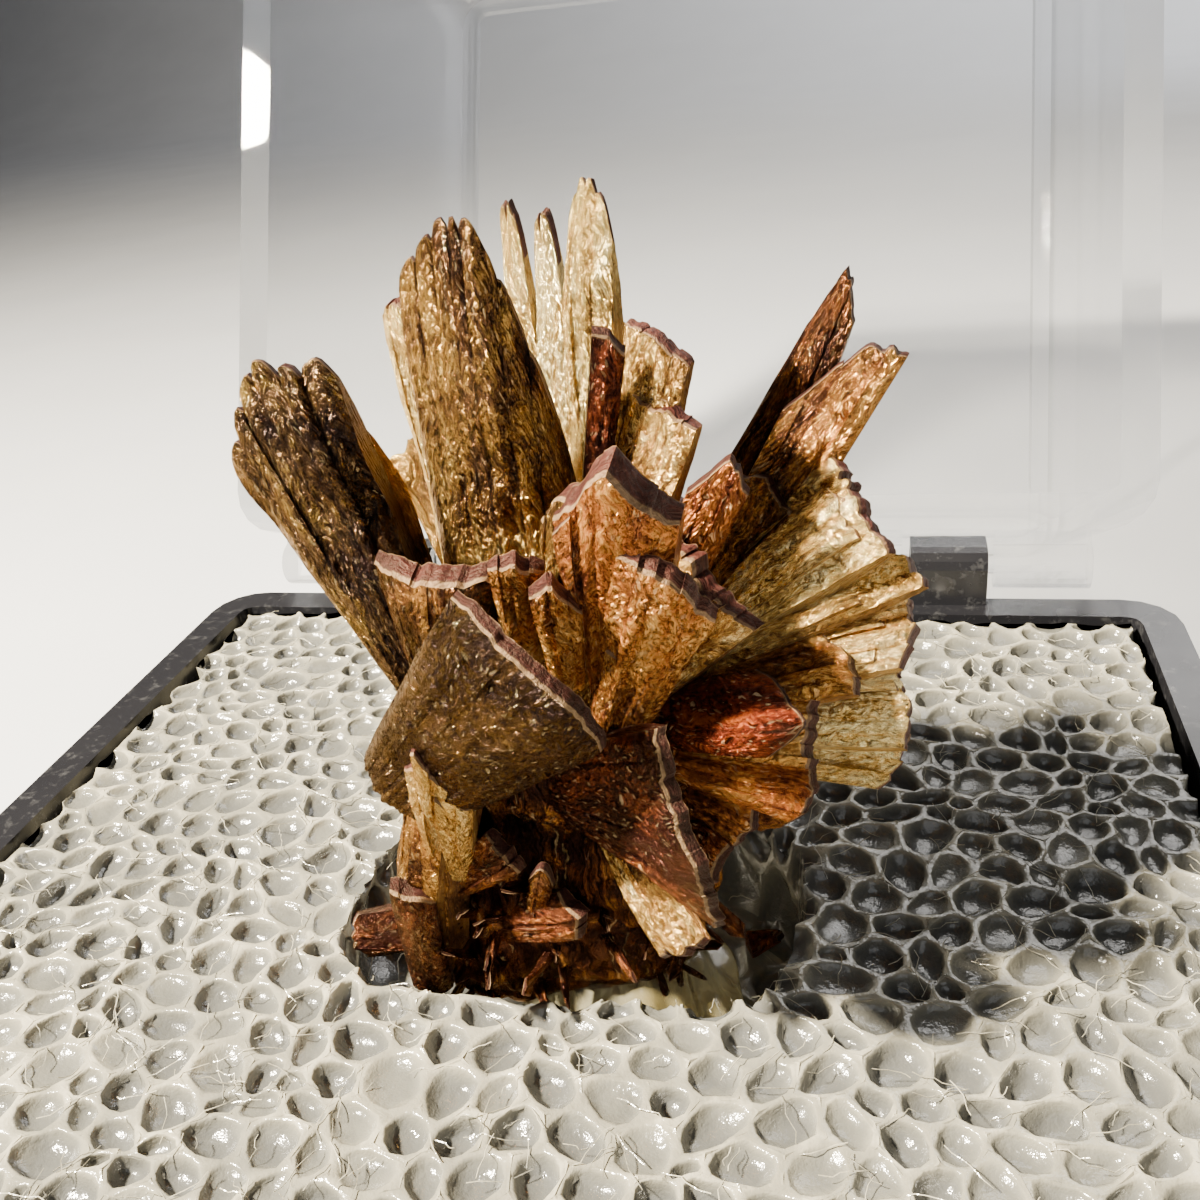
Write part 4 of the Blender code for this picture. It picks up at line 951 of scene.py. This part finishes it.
def makeFoam(settings, material):
    half = tray["side"] / 2 - tray["wall"] - tray["gap"]
    source = inScene("foamSource", bpy.data.meshes.new("foamSource"))
    shared = {"Side": 2.0 * half + 1.6 * settings["cell"], "Jitter": settings["jitter"],
              "Wobble": settings["wobble"], "Material": material}
    coarse = shared | {"Cell": settings["cell"], "Ragged": settings["ragged"], "Seed": settings["seed"]}
    cups = runTree(cupTree(), source, "foamPad", coarse | {
        "Level": settings["cupDrop"], "Rim Scale": settings["rimScale"], "Depth": settings["depth"],
    })
    struts = runTree(strutTree(), source, "foamStruts", coarse | {
        "Level": settings["strutDrop"], "Half": half - settings["edgeGap"], "Radius": settings["strut"],
        "Sag": settings["strutSag"],
    })
    strands = runTree(strandTree(), source, "foamStrands", {
        "Half": half - settings["edgeGap"], "Density": settings["strandsPerSquareMm"],
        "Radius": settings["strand"], "Length": settings["strandLength"], "Tilt": settings["strandTilt"],
        "Wobble": 2.0 * settings["wobble"], "Seed": settings["strandSeed"], "Material": material,
    })
    bpy.data.objects.remove(source)
    foamPiece("foamPad", cups, settings, half, True)
    foamPiece("foamStruts", struts, settings, half, False)
    foamPiece("foamStrands", strands, settings, half, False)


def makeFoamMaterial():
    material, tree, shader, place = newMaterial("whiteFoam")
    skin = noiseOf(tree, place, 4200.0, 3.0, 0.7)
    # Painted shade: the colour darkens with depth into each cup (sunk) and is palest on the rims.
    sunk = put(tree, "ShaderNodeAttribute", attribute_name="sunk").outputs["Fac"]
    shade = centred(tree, skin, 0.25, sunk)
    feed(tree, shader, "Base Color", ramp(tree, shade, (
        (0.0, (0.41, 0.38, 0.285)), (0.15, (0.25, 0.235, 0.18)), (0.5, (0.155, 0.15, 0.125)),
        (1.0, (0.09, 0.09, 0.083)),
    )))
    feed(tree, shader, "Roughness", calc(tree, "MULTIPLY_ADD", skin, 0.3, 0.03))
    feed(tree, shader, "Specular IOR Level", 0.8)
    roughen(tree, shader, skin, 0.5, 0.00007)
    return material


makeFoam(foamPad, makeFoamMaterial())


# Glue that holds the foot, with a wavy skin drawn up against the crystals
glueDome = {"centre": (2.1, -0.15, -1.9), "radii": (2.5, 1.95, 1.75), "floor": -2.7, "wave": 0.07, "seed": 21}


def makeGlueMaterial():
    material, tree, shader, place = newMaterial("clearGlue")
    cloud = noiseOf(tree, place, 700.0, 3.0)
    feed(tree, shader, "Transmission Weight", 0.85)
    feed(tree, shader, "IOR", 1.5)
    stops = ((0.3, (0.70, 0.56, 0.22)), (0.7, (0.90, 0.84, 0.58)))
    feed(tree, shader, "Base Color", ramp(tree, cloud, stops))
    feed(tree, shader, "Roughness", calc(tree, "MULTIPLY_ADD", cloud, 0.25, 0.02))
    roughen(tree, shader, cloud, 0.4, 0.0002)
    return material


def makeGlue(settings, material):
    draw = np.random.default_rng(settings["seed"])
    bm = bmesh.new()
    bmesh.ops.create_icosphere(bm, subdivisions=5, radius=1.0)
    waves = [(Vector(draw.normal(0.0, 3.0 + n, 3)), draw.uniform(0.0, 6.0)) for n in range(6)]
    for vert in bm.verts:
        wobble = sum(math.sin(vert.co.dot(way) + phase) for way, phase in waves) * settings["wave"] / 2.0
        vert.co *= 1.0 + wobble
        vert.co = Vector(a * b + c for a, b, c in zip(vert.co, settings["radii"], settings["centre"]))
        vert.co.z = max(vert.co.z, settings["floor"])
    bmesh.ops.translate(bm, vec=Vector((0.0, 0.0, tray["rim"])), verts=bm.verts)
    bmesh.ops.scale(bm, vec=Vector((mm, mm, mm)), verts=bm.verts)
    mesh = bpy.data.meshes.new("glueDome")
    bm.to_mesh(mesh)
    bm.free()
    mesh.shade_smooth()
    mesh.materials.append(material)
    piece = inScene("glueDome", mesh)
    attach(piece, "box")
    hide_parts("glue")
    print("glueDome", triangleCount(piece), "triangles")


makeGlue(glueDome, makeGlueMaterial())


# Loose chip of crystal that lies in the pit
looseChip = {
    "chip": bladeOf((4.27, 2.7, -2.4), (5.1, 3.1, -2.4), (0.5, 0.3), (0.42, 0.36), (0.0, 0.0, 1.0), 2, 0.35,
                    0.7),
}


def makeChip(blades):
    piece = meshFromParts("looseChip", bladeParts(blades["chip"], 31), goethite)
    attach(piece, "box")
    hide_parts("loose_chip")
    print("looseChip", triangleCount(piece), "triangles")


makeChip(looseChip)


# Stage: pale floor that curves up into a backdrop, and soft studio lights
stage = {"half": 420.0, "back": 330.0, "bend": 160.0, "height": 520.0, "bendSteps": 16}


def makeStage(settings):
    half, back, bend = settings["half"], settings["back"], settings["bend"]
    profile = [(-half, 0.0), (back, 0.0)]
    for n in range(1, settings["bendSteps"] + 1):
        angle = math.pi / 2 * n / settings["bendSteps"]
        profile.append((back + bend * math.sin(angle), bend * (1.0 - math.cos(angle))))
    profile.append((back + bend, settings["height"]))
    points = [(x * mm, y * mm, z * mm) for x in (-half, half) for y, z in profile]
    count = len(profile)
    mesh = bpy.data.meshes.new("floorSweep")
    mesh.from_pydata(points, [], [(i, i + count, i + count + 1, i + 1) for i in range(count - 1)])
    mesh.shade_smooth()
    sweep = inScene("floorSweep", mesh)
    material, tree, shader, place = newMaterial("paleFloor")
    speck = noiseOf(tree, place, 60.0, 2.0)
    stops = ((0.3, (0.60, 0.61, 0.635)), (0.7, (0.64, 0.65, 0.675)))
    feed(tree, shader, "Base Color", ramp(tree, speck, stops))
    feed(tree, shader, "Roughness", 0.7)
    mesh.materials.append(material)


makeStage(stage)

lights = {
    "key": {"place": (-73.0, -37.5, 109.0), "size": 12.0, "watts": 1.75, "colour": (1.0, 0.90, 0.72)},
    "fill": {"place": (30.0, -100.0, 80.0), "size": 120.0, "watts": 0.03, "colour": (0.95, 0.97, 1.0)},
    "rim": {"place": (40.0, 120.0, 110.0), "size": 90.0, "watts": 0.10, "colour": (1.0, 0.97, 0.93)},
    "wash": {"place": (110.0, 300.0, 230.0), "size": 160.0, "watts": 0.9, "colour": (0.97, 0.98, 1.0),
             "aim": (130.0, 480.0, 70.0)},
}
aim = Vector((1.5, 0.5, 16.0))


def makeLights(settings):
    for name, values in settings.items():
        data = bpy.data.lights.new(name + "Light", "AREA")
        data.shape = "DISK"
        data.size = values["size"] * mm
        data.energy = values["watts"]
        data.color = values["colour"]
        lamp = inScene(name + "Light", data)
        place = Vector(values["place"])
        lamp.location = place * mm
        lamp.rotation_euler = (Vector(values.get("aim", aim)) - place).to_track_quat("-Z", "Y").to_euler()
    world = bpy.data.worlds.new("studio")
    world.use_nodes = True
    world.node_tree.nodes["Background"].inputs["Color"].default_value = (0.86, 0.87, 0.90, 1.0)
    world.node_tree.nodes["Background"].inputs["Strength"].default_value = 0.045
    bpy.context.scene.world = world


makeLights(lights)


# Finish of the box: smeared and dusty black tray, clear lid
def makeBlackPlastic():
    material, tree, shader, place = newMaterial("blackPlastic")
    dust = noiseOf(tree, place, 2600.0, 4.0, 0.7)
    smear = noiseOf(tree, place, 240.0, 3.0, 0.6)
    stops = ((0.55, (0.010, 0.010, 0.012)), (0.78, (0.05, 0.05, 0.052)))
    feed(tree, shader, "Base Color", ramp(tree, dust, stops))
    feed(tree, shader, "Roughness", calc(tree, "MULTIPLY_ADD", smear, 0.3, 0.1))
    roughen(tree, shader, dust, 0.15, 0.00003)
    return material


def makeClearPlastic():
    material, tree, shader, place = newMaterial("clearPlastic")
    smear = noiseOf(tree, place, 180.0, 3.0, 0.6)
    feed(tree, shader, "Base Color", (0.97, 0.98, 0.985, 1.0))
    feed(tree, shader, "Transmission Weight", 1.0)
    feed(tree, shader, "IOR", 1.2)
    feed(tree, shader, "Alpha", 0.5)
    feed(tree, shader, "Roughness", calc(tree, "MULTIPLY_ADD", smear, 0.03, 0.0))
    roughen(tree, shader, smear, 0.1, 0.00005)
    return material


def dress(node, material):
    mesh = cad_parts[node].data
    mesh.materials.clear()
    mesh.materials.append(material)


dress("base", makeBlackPlastic())
dress("lid", makeClearPlastic())
print("box dressed")

print("done")
